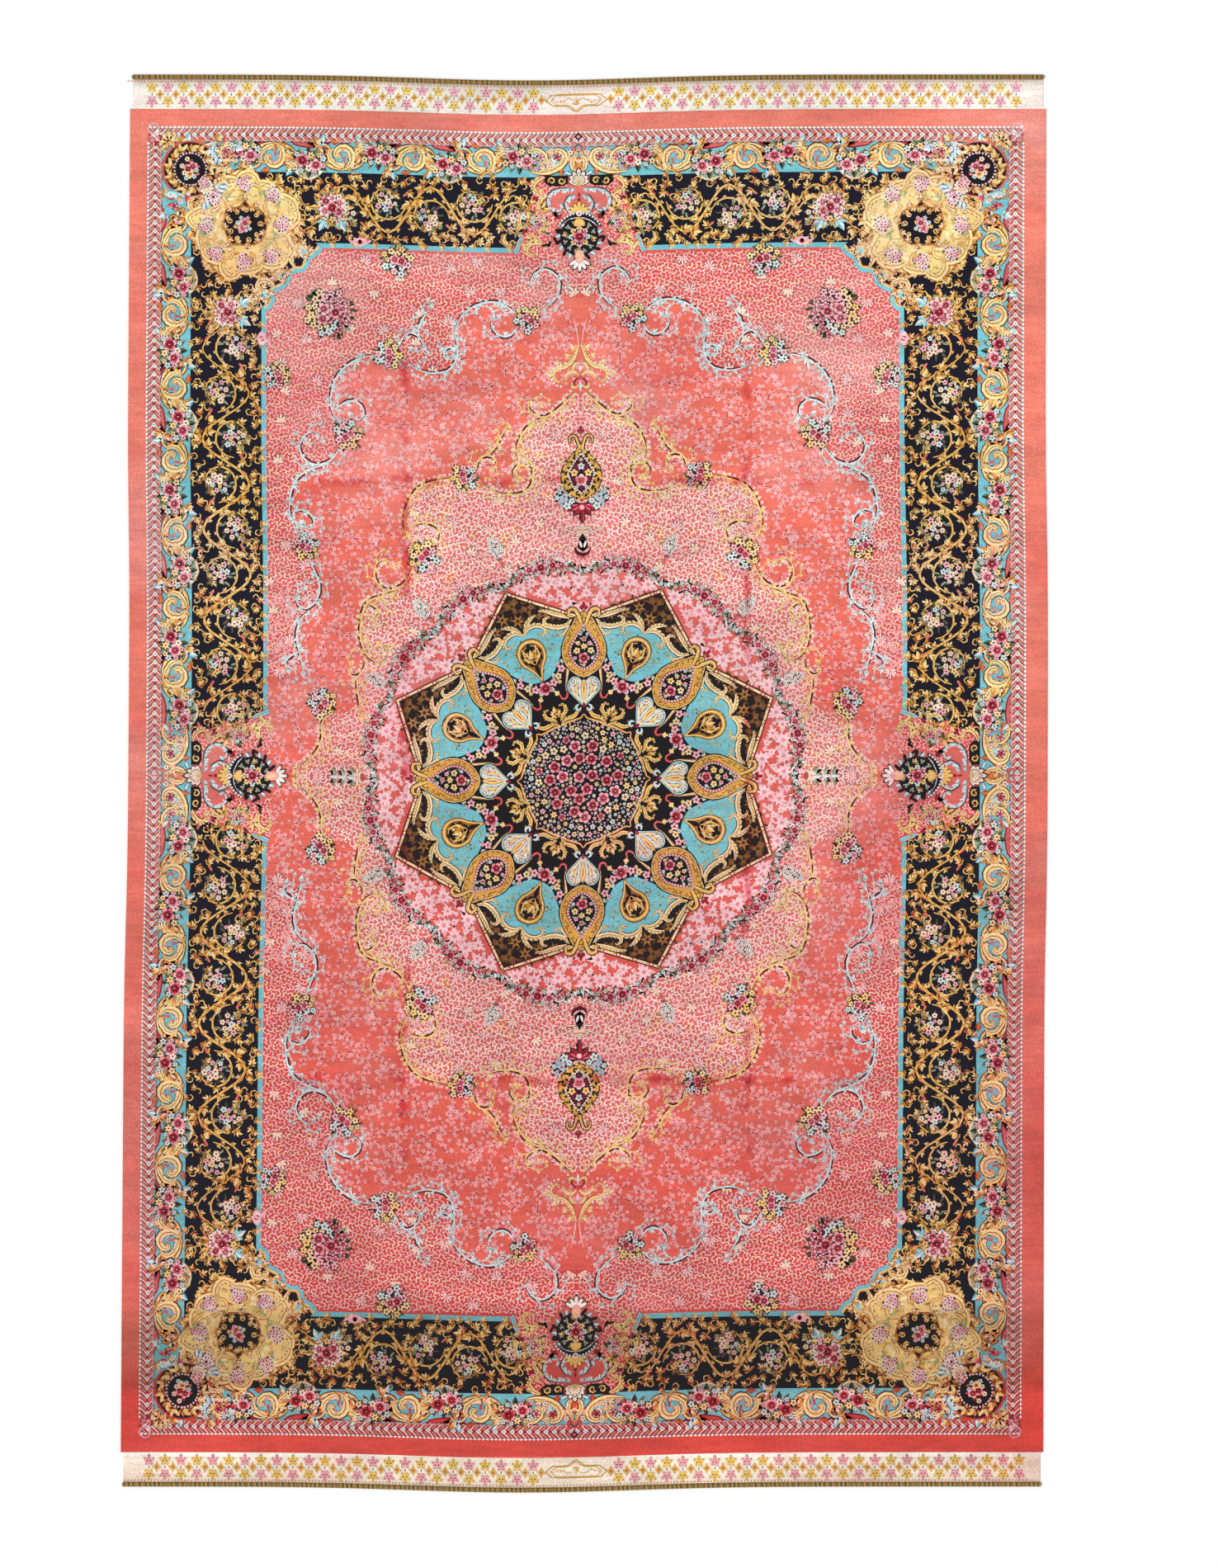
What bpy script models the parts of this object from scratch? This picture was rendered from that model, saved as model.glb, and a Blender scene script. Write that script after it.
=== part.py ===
# Persian rug laid flat: one woven cloth, its pile between two flatwoven ends, and a corded binding at each end.
# Metres, +Z up, +Y towards the rug's top end, origin on the floor under the rug's centre.

import math

import bmesh
import bpy

# Driving dimensions
RUG_WIDTH = 2.010
PILE_LENGTH = 2.934
KILIM_LENGTH = 0.066
PILE_THICKNESS = 0.0048
KILIM_THICKNESS = 0.0018
PILE_EDGE_RUN = 0.0030
SELVEDGE_WIDTH = 0.0050
SELVEDGE_SHARE = 0.72
KILIM_INSET = 0.0060
BINDING_WIDTH = 0.0110
BINDING_HEIGHT = 0.0048
BINDING_OVERHANG = 0.0030
SEAM_GAP = 0.0003
GRID_PITCH = 0.145

# The rug is a little out of square: it leans, widens towards its foot, bows to its right
# a little above the middle, and its ends sag left of the middle.
LEAN = 0.0046
FOOT_WIDENING = 0.0035
SIDE_BOW = 0.0062
BOW_CENTRE = 0.130
BOW_REACH = 0.480
END_SAG = 0.0130
SAG_CENTRE = -0.130
SAG_REACH = 0.330
CENTRE_SHIFT = (0.0018, 0.0065)

# Creases left by folding: across is the crease's place, and it runs from start to end, with a swell on each side.
CREASES = [
    {"runs": "along_y", "across": -0.396, "start": -1.120, "end": 1.170, "swell": 0.0026, "reach": 0.045},
    {"runs": "along_y", "across": 0.354, "start": -1.000, "end": 1.060, "swell": 0.0020, "reach": 0.048},
    {"runs": "along_x", "across": 0.658, "start": -0.720, "end": 0.760, "swell": 0.0021, "reach": 0.046},
    {"runs": "along_x", "across": -0.652, "start": -0.780, "end": 0.700, "swell": 0.0024, "reach": 0.048},
]
CREASE_FADE = 0.220
CREASE_STATIONS = (-2.0, -1.5, -1.0, -0.5, 0.0, 0.5, 1.0, 1.5, 2.0)

CORAL = (0.80, 0.17, 0.12, 1.0)
OLIVE_GOLD = (0.42, 0.30, 0.08, 1.0)


def clear_scene():
    for obj in list(bpy.data.objects):
        bpy.data.objects.remove(obj, do_unlink=True)


def make_material(name, colour, roughness):
    material = bpy.data.materials.new(name)
    material.use_nodes = True
    shader = material.node_tree.nodes["Principled BSDF"]
    shader.inputs["Base Color"].default_value = colour
    shader.inputs["Roughness"].default_value = roughness
    shader.inputs["Metallic"].default_value = 0.0
    material.diffuse_color = colour
    return material


def out_of_square(x, y):
    """Where a point of the true rectangle lies on the real, slightly uneven rug."""
    widened = x * (1 - FOOT_WIDENING * y / (PILE_LENGTH / 2))
    bow = SIDE_BOW * math.exp(-(((y - BOW_CENTRE) / BOW_REACH) ** 4))
    sag = END_SAG * math.exp(-(((x - SAG_CENTRE) / SAG_REACH) ** 2))
    return widened + bow + LEAN * y + CENTRE_SHIFT[0], y - sag + CENTRE_SHIFT[1]


def fade(position, start, end):
    """1 along a crease, easing to 0 at its two ends."""
    inside = min(position - start, end - position) / CREASE_FADE
    inside = max(0.0, min(1.0, inside))
    return inside * inside * (3 - 2 * inside)


def lift(x, y):
    """How far the cloth's underside stands off the floor: a swell on each side of a crease, 0 in the crease."""
    height = 0.0
    for crease in CREASES:
        along, across = (y, x) if crease["runs"] == "along_y" else (x, y)
        away = min(abs(across - crease["across"]) / crease["reach"], 2.0)
        swell = crease["swell"] * math.sin(math.pi * away / 2) ** 2
        height += swell * fade(along, crease["start"], crease["end"])
    return height


def crease_lines(runs):
    """The grid lines that shape the creases which run this way."""
    return [
        crease["across"] + station * crease["reach"]
        for crease in CREASES
        if crease["runs"] == runs
        for station in CREASE_STATIONS
    ]


def even_lines(half, fixed):
    """Grid lines from -half to half: the fixed ones, and even ones wherever those leave room."""
    lines = sorted(fixed)
    count = round(2 * half / GRID_PITCH)
    for step in range(count + 1):
        line = -half + 2 * half * step / count
        if min(abs(line - other) for other in lines) > GRID_PITCH / 3:
            lines.append(line)
    return sorted(lines)


def column_lines():
    half = RUG_WIDTH / 2
    rims = [-half, -half + SELVEDGE_WIDTH, half - SELVEDGE_WIDTH, half]
    return even_lines(half, rims + crease_lines("along_y"))


def row_lines():
    pile = PILE_LENGTH / 2
    rims = [side * place for side in (-1, 1) for place in (pile, pile + PILE_EDGE_RUN, pile + KILIM_LENGTH)]
    return even_lines(pile + KILIM_LENGTH, rims + crease_lines("along_x"))


def thickness_share(x, y):
    """The cloth's thickness here as a share of the pile's."""
    if abs(y) > PILE_LENGTH / 2 + PILE_EDGE_RUN / 2:
        return KILIM_THICKNESS / PILE_THICKNESS
    if abs(x) > RUG_WIDTH / 2 - SELVEDGE_WIDTH / 2:
        return SELVEDGE_SHARE
    return 1.0


def cloth_point(x, y):
    """A point of the cloth's underside. The flatwoven ends are drawn in a little narrower than the pile."""
    narrowed = x
    if abs(y) > PILE_LENGTH / 2 + PILE_EDGE_RUN / 2:
        narrowed = x * (1 - 2 * KILIM_INSET / RUG_WIDTH)
    placed_x, placed_y = out_of_square(narrowed, y)
    return placed_x, placed_y, lift(x, y)


def make_woven_rug(collection, material):
    columns, rows = column_lines(), row_lines()
    sheet = bmesh.new()
    bmesh.ops.create_grid(sheet, x_segments=len(columns) - 1, y_segments=len(rows) - 1, size=0.5)
    shares = []
    for vertex in sheet.verts:
        column = round((vertex.co.x + 0.5) * (len(columns) - 1))
        row = round((vertex.co.y + 0.5) * (len(rows) - 1))
        x, y = columns[column], rows[row]
        shares.append(thickness_share(x, y))
        vertex.co = cloth_point(x, y)
    mesh = bpy.data.meshes.new("woven_rug")
    sheet.to_mesh(mesh)
    sheet.free()
    rug = bpy.data.objects.new("woven_rug", mesh)
    collection.objects.link(rug)
    mesh.materials.append(material)
    group = rug.vertex_groups.new(name="cloth_thickness")
    for index, share in enumerate(shares):
        group.add([index], share, "REPLACE")
    thicken = rug.modifiers.new("cloth", "SOLIDIFY")
    thicken.thickness = PILE_THICKNESS
    thicken.offset = 1.0
    thicken.use_even_offset = False
    thicken.vertex_group = group.name
    return rug


def make_end_binding(name, end, collection, material):
    """The overcast cord along one flatwoven end: end is 1 at the rug's top and -1 at its foot."""
    radius = BINDING_WIDTH / 2
    flattening = BINDING_HEIGHT / BINDING_WIDTH
    edge = end * (PILE_LENGTH / 2 + KILIM_LENGTH)
    columns = column_lines()
    inset_share = 1 - 2 * KILIM_INSET / RUG_WIDTH
    curve = bpy.data.curves.new(name, "CURVE")
    curve.dimensions = "3D"
    curve.bevel_depth = radius
    curve.bevel_resolution = 3
    curve.use_fill_caps = True
    spline = curve.splines.new("POLY")
    spline.points.add(len(columns) - 1)
    for index, column in enumerate(columns):
        x, y = out_of_square(column * inset_share, edge)
        reach = math.copysign(BINDING_OVERHANG, column) if index in (0, len(columns) - 1) else 0.0
        spline.points[index].co = (x + reach, y + end * (SEAM_GAP + radius), radius, 1.0)
    binding = bpy.data.objects.new(name, curve)
    binding.scale = (1.0, 1.0, flattening)
    curve.materials.append(material)
    collection.objects.link(binding)
    return binding


def main():
    clear_scene()
    collection = bpy.data.collections.new("persian_rug")
    bpy.context.scene.collection.children.link(collection)
    silk = make_material("coral_silk", CORAL, 0.55)
    cord = make_material("olive_gold_cord", OLIVE_GOLD, 0.70)
    make_woven_rug(collection, silk)
    make_end_binding("end_binding_top", 1, collection, cord)
    make_end_binding("end_binding_foot", -1, collection, cord)


main()
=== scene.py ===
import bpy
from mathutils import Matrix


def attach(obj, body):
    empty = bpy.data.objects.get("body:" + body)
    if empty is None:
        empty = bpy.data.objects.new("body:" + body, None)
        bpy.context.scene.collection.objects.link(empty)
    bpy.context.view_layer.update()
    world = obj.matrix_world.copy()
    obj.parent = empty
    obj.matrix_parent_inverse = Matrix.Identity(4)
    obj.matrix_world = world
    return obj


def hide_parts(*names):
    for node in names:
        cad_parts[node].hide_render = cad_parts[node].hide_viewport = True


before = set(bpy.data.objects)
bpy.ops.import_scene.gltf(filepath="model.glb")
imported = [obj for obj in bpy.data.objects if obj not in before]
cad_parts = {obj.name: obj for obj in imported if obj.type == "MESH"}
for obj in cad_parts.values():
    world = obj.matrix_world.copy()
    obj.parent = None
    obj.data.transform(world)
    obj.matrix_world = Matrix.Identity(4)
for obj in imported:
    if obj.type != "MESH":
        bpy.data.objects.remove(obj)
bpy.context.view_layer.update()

import math
import random

import bmesh
import bpy
import numpy as np
from mathutils import Matrix

# The rug's pattern is drawn flat, on a cartoon like a weaver's: one square is 1.805 mm of rug, u runs across
# from the lengthwise middle and v runs along from the crosswise middle. Most of it is one quarter, turned over
# to the other three. Then the whole drawing is laid on the uneven rug as thin inlays of coloured pile.
square = 0.001805

rug = {
    "width": 2.010,
    "pileLength": 2.934,
    "kilimLength": 0.066,
    "pileThickness": 0.0048,
    "kilimThickness": 0.0018,
    "kilimInset": 0.0060,
    "lean": 0.0046,
    "footWidening": 0.0035,
    "sideBow": 0.0062,
    "bowCentre": 0.130,
    "bowReach": 0.480,
    "endSag": 0.0130,
    "sagCentre": -0.130,
    "sagReach": 0.330,
    "centreShift": (0.0018, 0.0065),
    "creaseFade": 0.220,
    "creases": [
        {"runs": "along_y", "across": -0.396, "start": -1.120, "end": 1.170, "swell": 0.0026, "reach": 0.045},
        {"runs": "along_y", "across": 0.354, "start": -1.000, "end": 1.060, "swell": 0.0020, "reach": 0.048},
        {"runs": "along_x", "across": 0.658, "start": -0.720, "end": 0.760, "swell": 0.0021, "reach": 0.046},
        {"runs": "along_x", "across": -0.652, "start": -0.780, "end": 0.700, "swell": 0.0024, "reach": 0.048},
    ],
}

# Edges of the pattern's bands, in squares from the middle
bands = {
    "edge": 554.0, "chevronOut": 531.3, "chevronIn": 514.0, "scrollIn": 480.3, "navyOut": 477.0,
    "navyIn": 389.5, "fieldSide": 383.4,
    "pileEnd": 807.8, "chevronTop": 786.0, "chevronLow": 769.5, "scrollLow": 735.0, "navyTop": 732.0,
    "navyLow": 646.0, "fieldEnd": 640.0, "kilimEnd": 844.4,
}
kilimStart = bands["pileEnd"] + 1.2  # just past the step from the pile down to the flatwoven end
sit = {  # how the drawing sits on the true rectangle, in metres
    "stretch": 1.0062, "rise": 0.011, "riseReach": 1.45, "leftRim": 0.040, "rightRim": 0.049,
    "kilimShift": (-0.0267, -0.0130),
}
inlayStep = 0.00011  # height of one layer of inlay
inlayBase = 0.00034  # height of the lowest layer over the cloth
lightGain = 1.13  # how much brighter than its dye a colour looks in this light


def dye(red, green, blue):
    parts = np.array([red, green, blue]) / 255.0
    linear = np.where(parts <= 0.04045, parts / 12.92, ((parts + 0.055) / 1.055) ** 2.4)
    return linear / lightGain


dyes = {
    "navy": dye(14, 10, 32), "black": dye(16, 9, 20), "coral": dye(238, 130, 111), "fieldRed": dye(226, 88, 80),
    "plainRed": dye(240, 116, 98), "pinkCurl": dye(250, 172, 174), "pale": dye(252, 200, 208),
    "pink": dye(246, 160, 172), "rose": dye(226, 100, 122), "red": dye(186, 38, 58), "darkRed": dye(112, 14, 30),
    "cream": dye(251, 236, 206), "ivory": dye(255, 250, 240), "gold": dye(224, 170, 70),
    "goldLight": dye(250, 218, 134), "goldDark": dye(170, 106, 36), "orange": dye(226, 136, 58),
    "turquoise": dye(120, 200, 212), "turquoiseDark": dye(70, 150, 172), "turquoisePale": dye(186, 230, 234),
    "green": dye(84, 98, 66), "greenPale": dye(164, 180, 146), "ghost": dye(92, 92, 86),
    "yellow": dye(250, 222, 142), "yellowPale": dye(252, 232, 166), "greyBlue": dye(158, 176, 196),
    "brown": dye(72, 46, 26), "kilim": dye(255, 250, 238), "white": dye(252, 250, 248),
    "bayPink": dye(224, 116, 106), "olive": dye(120, 118, 70),
    "scrollLight": dye(253, 238, 176), "scrollMid": dye(236, 190, 96), "scrollDark": dye(150, 80,
            38), "scrollLine": dye(88, 24, 30),
    "cloudMid": dye(240, 200, 108), "cloudLine": dye(168, 98, 44),
}

# Camera, floor and light
view = {"height": 7.0, "frameTall": 3.430, "offset": (0.0542, -0.0009)}
light = {"room": 0.80, "sun": 1.15, "sunWidth": 0.6, "sunTilt": (28, -22), "floor": 0.93}
scene = bpy.context.scene


def linked(thing):
    scene.collection.objects.link(thing)
    return thing


cameraData = bpy.data.cameras.new("overheadCamera")
cameraData.sensor_fit = "VERTICAL"
cameraData.sensor_height = 36.0
cameraData.lens = cameraData.sensor_height * view["height"] / view["frameTall"]
cameraData.clip_end = 50.0
camera = linked(bpy.data.objects.new("overheadCamera", cameraData))
camera.location = (*view["offset"], view["height"])
scene.camera = camera
scene.view_settings.view_transform = "Standard"

world = bpy.data.worlds.new("paleRoom")
world.use_nodes = True
world.node_tree.nodes["Background"].inputs["Color"].default_value = (1.0, 1.0, 1.0, 1.0)
world.node_tree.nodes["Background"].inputs["Strength"].default_value = light["room"]
scene.world = world
sunData = bpy.data.lights.new("softWindow", "SUN")
sunData.energy = light["sun"]
sunData.angle = light["sunWidth"]
sun = linked(bpy.data.objects.new("softWindow", sunData))
sun.rotation_euler = (*(math.radians(tilt) for tilt in light["sunTilt"]), 0.0)


def principled(name, colour, roughness):
    material = bpy.data.materials.new(name)
    material.use_nodes = True
    shader = material.node_tree.nodes["Principled BSDF"]
    shader.inputs["Base Color"].default_value = (*colour, 1.0)
    shader.inputs["Roughness"].default_value = roughness
    return material, material.node_tree, shader


floorShape = bmesh.new()
bmesh.ops.create_grid(floorShape, x_segments=1, y_segments=1, size=9.0)
floorMesh = bpy.data.meshes.new("floor")
floorShape.to_mesh(floorMesh)
floorShape.free()
floorMesh.transform(Matrix.Translation((0.0, 0.0, -0.0004)))
floorMesh.materials.append(principled("paleFloor", (light["floor"],) * 3, 0.9)[0])
floor = linked(bpy.data.objects.new("floor", floorMesh))
print("camera, floor and light set")


# The uneven rug
def outOfSquare(x, y):
    # The same unevenness as the solid's
    widened = x * (1 - rug["footWidening"] * y / (rug["pileLength"] / 2))
    bow = rug["sideBow"] * np.exp(-(((y - rug["bowCentre"]) / rug["bowReach"]) ** 4))
    sag = rug["endSag"] * np.exp(-(((x - rug["sagCentre"]) / rug["sagReach"]) ** 2))
    return widened + bow + rug["lean"] * y + rug["centreShift"][0], y - sag + rug["centreShift"][1]


def lift(x, y):
    height = np.zeros_like(x)
    for crease in rug["creases"]:
        along, across = (y, x) if crease["runs"] == "along_y" else (x, y)
        away = np.minimum(np.abs(across - crease["across"]) / crease["reach"], 2.0)
        inside = np.minimum(along - crease["start"], crease["end"] - along) / rug["creaseFade"]
        inside = np.clip(inside, 0.0, 1.0)
        height += crease["swell"] * np.sin(math.pi * away / 2) ** 2 * inside * inside * (3 - 2 * inside)
    return height


def trueFromCartoon(u, v):
    # Cartoon squares to the solid's own true rectangle, in metres
    q = v * square
    y = q * sit["stretch"] + sit["rise"] * np.clip(1 - (q / sit["riseReach"]) ** 2, 0.0, None)
    half = rug["width"] / 2
    p = u / bands["chevronOut"]
    leftRim, rightRim = -half + sit["leftRim"], half - sit["rightRim"]
    inner = (leftRim + rightRim) / 2 + p * (rightRim - leftRim) / 2
    inner = inner + (-0.0035 - 0.0050 * (q + 0.15) ** 2 - 0.0010) * (1 - p * p)  # the middle lies a little to the left
    outer = (np.abs(u) - bands["chevronOut"]) / (bands["edge"] - bands["chevronOut"])
    beyond = np.where(u > 0, rightRim + outer * sit["rightRim"], leftRim - outer * sit["leftRim"])
    x = np.where(np.abs(p) <= 1.0, inner, beyond)
    onKilim = np.abs(v) > kilimStart
    x = np.where(onKilim, u * square + np.where(v > 0, *sit["kilimShift"]), x)
    end = rug["pileLength"] / 2 + rug["kilimLength"]
    y = np.where(onKilim, np.sign(v) * end + (v - np.sign(v) * bands["kilimEnd"]) * square, y)
    return x, y


def drawnIn(x, y, onKilim):
    # The flatwoven ends are narrower than the pile
    return outOfSquare(np.where(onKilim, x * (1 - 2 * rug["kilimInset"] / rug["width"]), x), y)


def layOn(u, v, level):
    # Cartoon squares and a layer number to a point on the rug's face
    x, y = trueFromCartoon(u, v)
    onKilim = np.abs(v) > kilimStart
    placedX, placedY = drawnIn(x, y, onKilim)
    thick = np.where(onKilim, rug["kilimThickness"], rug["pileThickness"])
    return np.column_stack((placedX, placedY, lift(x, y) + thick + inlayBase + level * inlayStep))


def dyed(colour):
    return dyes[colour] if isinstance(colour, str) else colour


# Drawing tools
def newDrawing():
    return {"points": [], "tris": [], "paint": [], "total": 0}


def addPart(drawing, xy, tris, paint, level):
    count = len(xy)
    levels = np.full(count, float(level)) if np.isscalar(level) else level
    drawing["points"].append(np.column_stack((xy, levels)))
    drawing["paint"].append(np.broadcast_to(dyed(paint), (count, 3)))
    drawing["tris"].append(tris + drawing["total"])
    drawing["total"] += count


def polar(x, y, reach, angle):
    return x + reach * math.cos(angle), y + reach * math.sin(angle)


def bearing(centre, reach, angle):
    return reach * math.sin(angle), centre + reach * math.cos(angle)


def collect(drawing):
    return (np.concatenate(drawing["points"]), np.concatenate(drawing["tris"]), np.concatenate(drawing["paint"]))


def readShape(shape):
    bmesh.ops.triangulate(shape, faces=shape.faces[:])
    shape.verts.index_update()
    xy = np.array([vertex.co[:2] for vertex in shape.verts])
    tris = np.array([[vertex.index for vertex in face.verts] for face in shape.faces])
    shape.free()
    a, b, c = xy[tris[:, 0]], xy[tris[:, 1]], xy[tris[:, 2]]
    area = (b[:, 0] - a[:, 0]) * (c[:, 1] - a[:, 1]) - (b[:, 1] - a[:, 1]) * (c[:, 0] - a[:, 0])
    tris[area < 0] = tris[area < 0][:, ::-1]
    return xy, tris


shapeShelf = {}


def discShape(corners, middle=True):
    if ("disc", corners, middle) not in shapeShelf:
        shape = bmesh.new()
        bmesh.ops.create_circle(shape, cap_ends=True, cap_tris=middle, segments=corners, radius=1.0)
        bmesh.ops.triangulate(shape, faces=shape.faces[:])
        shapeShelf["disc", corners, middle] = readShape(shape)
    return shapeShelf["disc", corners, middle]


def stripShape(count):
    if ("strip", count) not in shapeShelf:
        shape = bmesh.new()
        bmesh.ops.create_grid(shape, x_segments=count, y_segments=1, size=0.5)
        shapeShelf["strip", count] = readShape(shape)
    return shapeShelf["strip", count]


sketch = {"plain": 0, "small": 12.0, "tiny": 6.3}  # motifs smaller than these, in squares, are drawn plainly, 1 or 2


def leafForm(xy):
    return np.column_stack((xy[:, 0] * (1 - xy[:, 1] ** 2), xy[:, 1]))


def petalForm(xy):
    rise = (1 + xy[:, 1]) / 2
    return np.column_stack((xy[:, 0] * (0.35 + 0.65 * rise), rise))


def starForm(xy, points, depth):
    angle = np.arctan2(xy[:, 1], xy[:, 0])
    odd = np.round(angle / (math.pi / points)).astype(int) % 2 == 1
    return xy * np.where(odd, depth, 1.0)[:, None]


def lobeForm(xy, lobes, depth):
    angle = np.arctan2(xy[:, 1], xy[:, 0])
    return xy * (1 - depth + depth * np.cos(lobes * (angle - math.pi / 2)))[:, None]


def turnedBy(xy, angle):
    c, s = math.cos(angle), math.sin(angle)
    return np.column_stack((xy[:, 0] * c - xy[:, 1] * s, xy[:, 0] * s + xy[:, 1] * c))


def blot(drawing, x, y, wide, tall, turn, heart, rim, level, corners=8, form=None):
    # One patch of pile: a disc, drawn out and turned. The heart colour melts into the rim colour.
    heart, rim = dyed(heart), dyed(rim)
    solid = form in (None, leafForm, petalForm)
    if solid and sketch["plain"]:
        fewer = min(corners, 6) if form is leafForm else max(4, math.ceil(corners * 0.75))
        corners = 4 if sketch["plain"] == 2 else fewer
        heart = rim = (heart + 2 * rim) / 3
    xy, tris = discShape(corners, not (solid and np.array_equal(heart, rim)))
    middle = (np.abs(xy).sum(axis=1) < 1e-6)[:, None]
    shaped = xy if form is None else form(xy)
    shaped = turnedBy(shaped * (wide, tall), turn) + (x, y)
    addPart(drawing, shaped, tris, np.where(middle, heart, rim), level)


def mirrored(side, points, step=2.5):
    # A smooth curve, turned over to the other side of its axis where side is -1
    return smoothPath([(side * u, v) for u, v in points], step)


def closedShape(half, step):
    # The outline whose right half runs along the points from axis to axis
    return smoothPath([*half, *[(-u, v) for u, v in reversed(half[:-1])]], step)[:-1]


def swelled(outline, wide, middle, tall):
    return [(u * wide, middle + (v - middle) * tall) for u, v in outline]


def walkAlong(path):
    # A path's length, and a function for the place and the angle at a distance along it
    run = np.concatenate(([0.0], np.cumsum(np.linalg.norm(np.diff(path, axis=0), axis=1))))
    angles = along(path)

    def at(spot):
        angle = angles[min(len(angles) - 1, int(np.searchsorted(run, spot)))]
        return np.interp(spot, run, path[:, 0]), np.interp(spot, run, path[:, 1]), angle

    return run[-1], at


def smoothPath(points, step=2.5):
    # A smooth curve through the points, with a point about every step squares
    points = np.asarray(points, float)
    ends = np.vstack((2 * points[0] - points[1], points, 2 * points[-1] - points[-2]))
    pieces = []
    for i in range(len(points) - 1):
        a, b, c, d = ends[i:i + 4]
        t = np.linspace(0, 1, 9)[:-1, None]
        pieces.append(0.5 * (2 * b + (c - a) * t + (2 * a - 5 * b + 4 * c - d) * t ** 2 + (3 * b - a - 3 * c + d) * t ** 3))
    fine = np.vstack((*pieces, points[-1:]))
    run = np.concatenate(([0.0], np.cumsum(np.linalg.norm(np.diff(fine, axis=0), axis=1))))
    count = max(2, round(run[-1] / step))
    even = np.linspace(0, run[-1], count + 1)
    return np.column_stack((np.interp(even, run, fine[:, 0]), np.interp(even, run, fine[:, 1])))


def spiralPath(x, y, radius, endRadius, start, turns, step=2.5):
    count = max(5, round(abs(turns) * 2 * math.pi * (radius + endRadius) / 2 / step))
    t = np.linspace(0, 1, count + 1)
    r = radius + (endRadius - radius) * t
    angle = start + turns * 2 * math.pi * t
    return np.column_stack((x + r * np.cos(angle), y + r * np.sin(angle)))


def along(path):
    # Tangent angles of a path
    step = np.gradient(path, axis=0)
    return np.arctan2(step[:, 1], step[:, 0])


def thinned(path):
    # The numbers of the points that a path's bends and its two tapering ends need
    total = len(path) - 1
    needed = {0, total, round(total * 0.25), round(total * 0.55)}
    steps = np.diff(path, axis=0)
    lengths = np.hypot(steps[:, 0], steps[:, 1])
    angles = np.arctan2(steps[:, 1], steps[:, 0])
    bends = np.abs((np.diff(angles) + math.pi) % (2 * math.pi) - math.pi)
    kept, turned, gone = [0], 0.0, 0.0
    for number in range(1, total):
        turned += bends[number - 1]
        gone += lengths[number - 1]
        if number in needed or turned * gone > 1.9 or turned > (0.55, 0.8, 1.1)[sketch["plain"]] or gone > 13:
            kept.append(number)
            turned = gone = 0.0
    return np.array([*kept, total])


def ribbon(drawing, path, width, leftPaint, rightPaint, level, startShare=0.3, endShare=0.15, shift=0.0):
    # A drawn line of pile with its two sides in their own colours. It narrows to its ends.
    path = np.asarray(path)
    kept = thinned(path)
    count = len(kept) - 1
    xy, tris = stripShape(count)
    index = kept[np.clip(np.round((xy[:, 0] + 0.5) * count).astype(int), 0, count)]
    side = np.sign(xy[:, 1])
    s = index / (len(path) - 1)
    opening = startShare + s * 4 * (1 - startShare)
    closing = endShare + (1 - s) * 2.2 * (1 - endShare)
    body = np.minimum(1.0, np.minimum(opening, closing))
    angle = along(path)[index]
    normal = np.column_stack((-np.sin(angle), np.cos(angle)))
    placed = path[index] + normal * ((side * width / 2 + shift) * body)[:, None]
    addPart(drawing, placed, tris, np.where((side > 0)[:, None], dyed(leftPaint), dyed(rightPaint)), level)


def stampMotif(drawing, motif, x, y, turn=0.0, size=1.0, level=0.0, flip=False):
    versions, across = motifs[motif] if isinstance(motif, str) else motif
    extent = size * across
    plainer = 2 if extent < sketch["tiny"] else 1 if extent < sketch["small"] else 0
    points, tris, paint = versions[sketch["plain"] if size <= 1 else plainer]
    xy = points[:, :2] * size
    if flip:
        xy = xy * (-1, 1)
        tris = tris[:, ::-1]
    addPart(drawing, turnedBy(xy, turn) + (x, y), tris, paint, points[:, 2] + level)


def overToAllQuarters(arrays):
    points, tris, paint = arrays
    allPoints, allTris = [], []
    for number, (a, b) in enumerate(((1, 1), (-1, 1), (1, -1), (-1, -1))):
        allPoints.append(points * (a, b, 1) + (0, 0, 0.15 * number))
        order = tris if a * b > 0 else tris[:, ::-1]
        allTris.append(order + number * len(points))
    return np.concatenate(allPoints), np.concatenate(allTris), np.tile(paint, (4, 1))


def aroundTheMiddle(arrays, count):
    return joined(*(turnedRound(arrays, number * 2 * math.pi / count) for number in range(count)))


def turnedRound(arrays, angle):
    points, tris, paint = arrays
    return np.column_stack((turnedBy(points[:, :2], angle), points[:, 2])), tris, paint


def shifted(arrays, s, t):
    points, tris, paint = arrays
    return points + (s, t, 0), tris, paint


def turnedOver(arrays, a, b):
    # The same drawing and its mirror image: a is -1 for the other side, b is -1 for the other end
    points, tris, paint = arrays
    return joined(arrays, (points * (a, b, 1), tris[:, ::-1], paint))


def onEnds(arrays):
    return turnedOver(arrays, 1, -1)


def onSides(arrays):
    return turnedOver(swapped(arrays), -1, 1)


def swapped(arrays):
    # A stretch drawn for the ends, turned to run along the sides
    points, tris, paint = arrays
    return points[:, [1, 0, 2]], tris[:, ::-1], paint


def joined(*several):
    total, allPoints, allTris, allPaint = 0, [], [], []
    for points, tris, paint in several:
        allPoints.append(points)
        allTris.append(tris + total)
        allPaint.append(paint)
        total += len(points)
    return np.concatenate(allPoints), np.concatenate(allTris), np.concatenate(allPaint)


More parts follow.
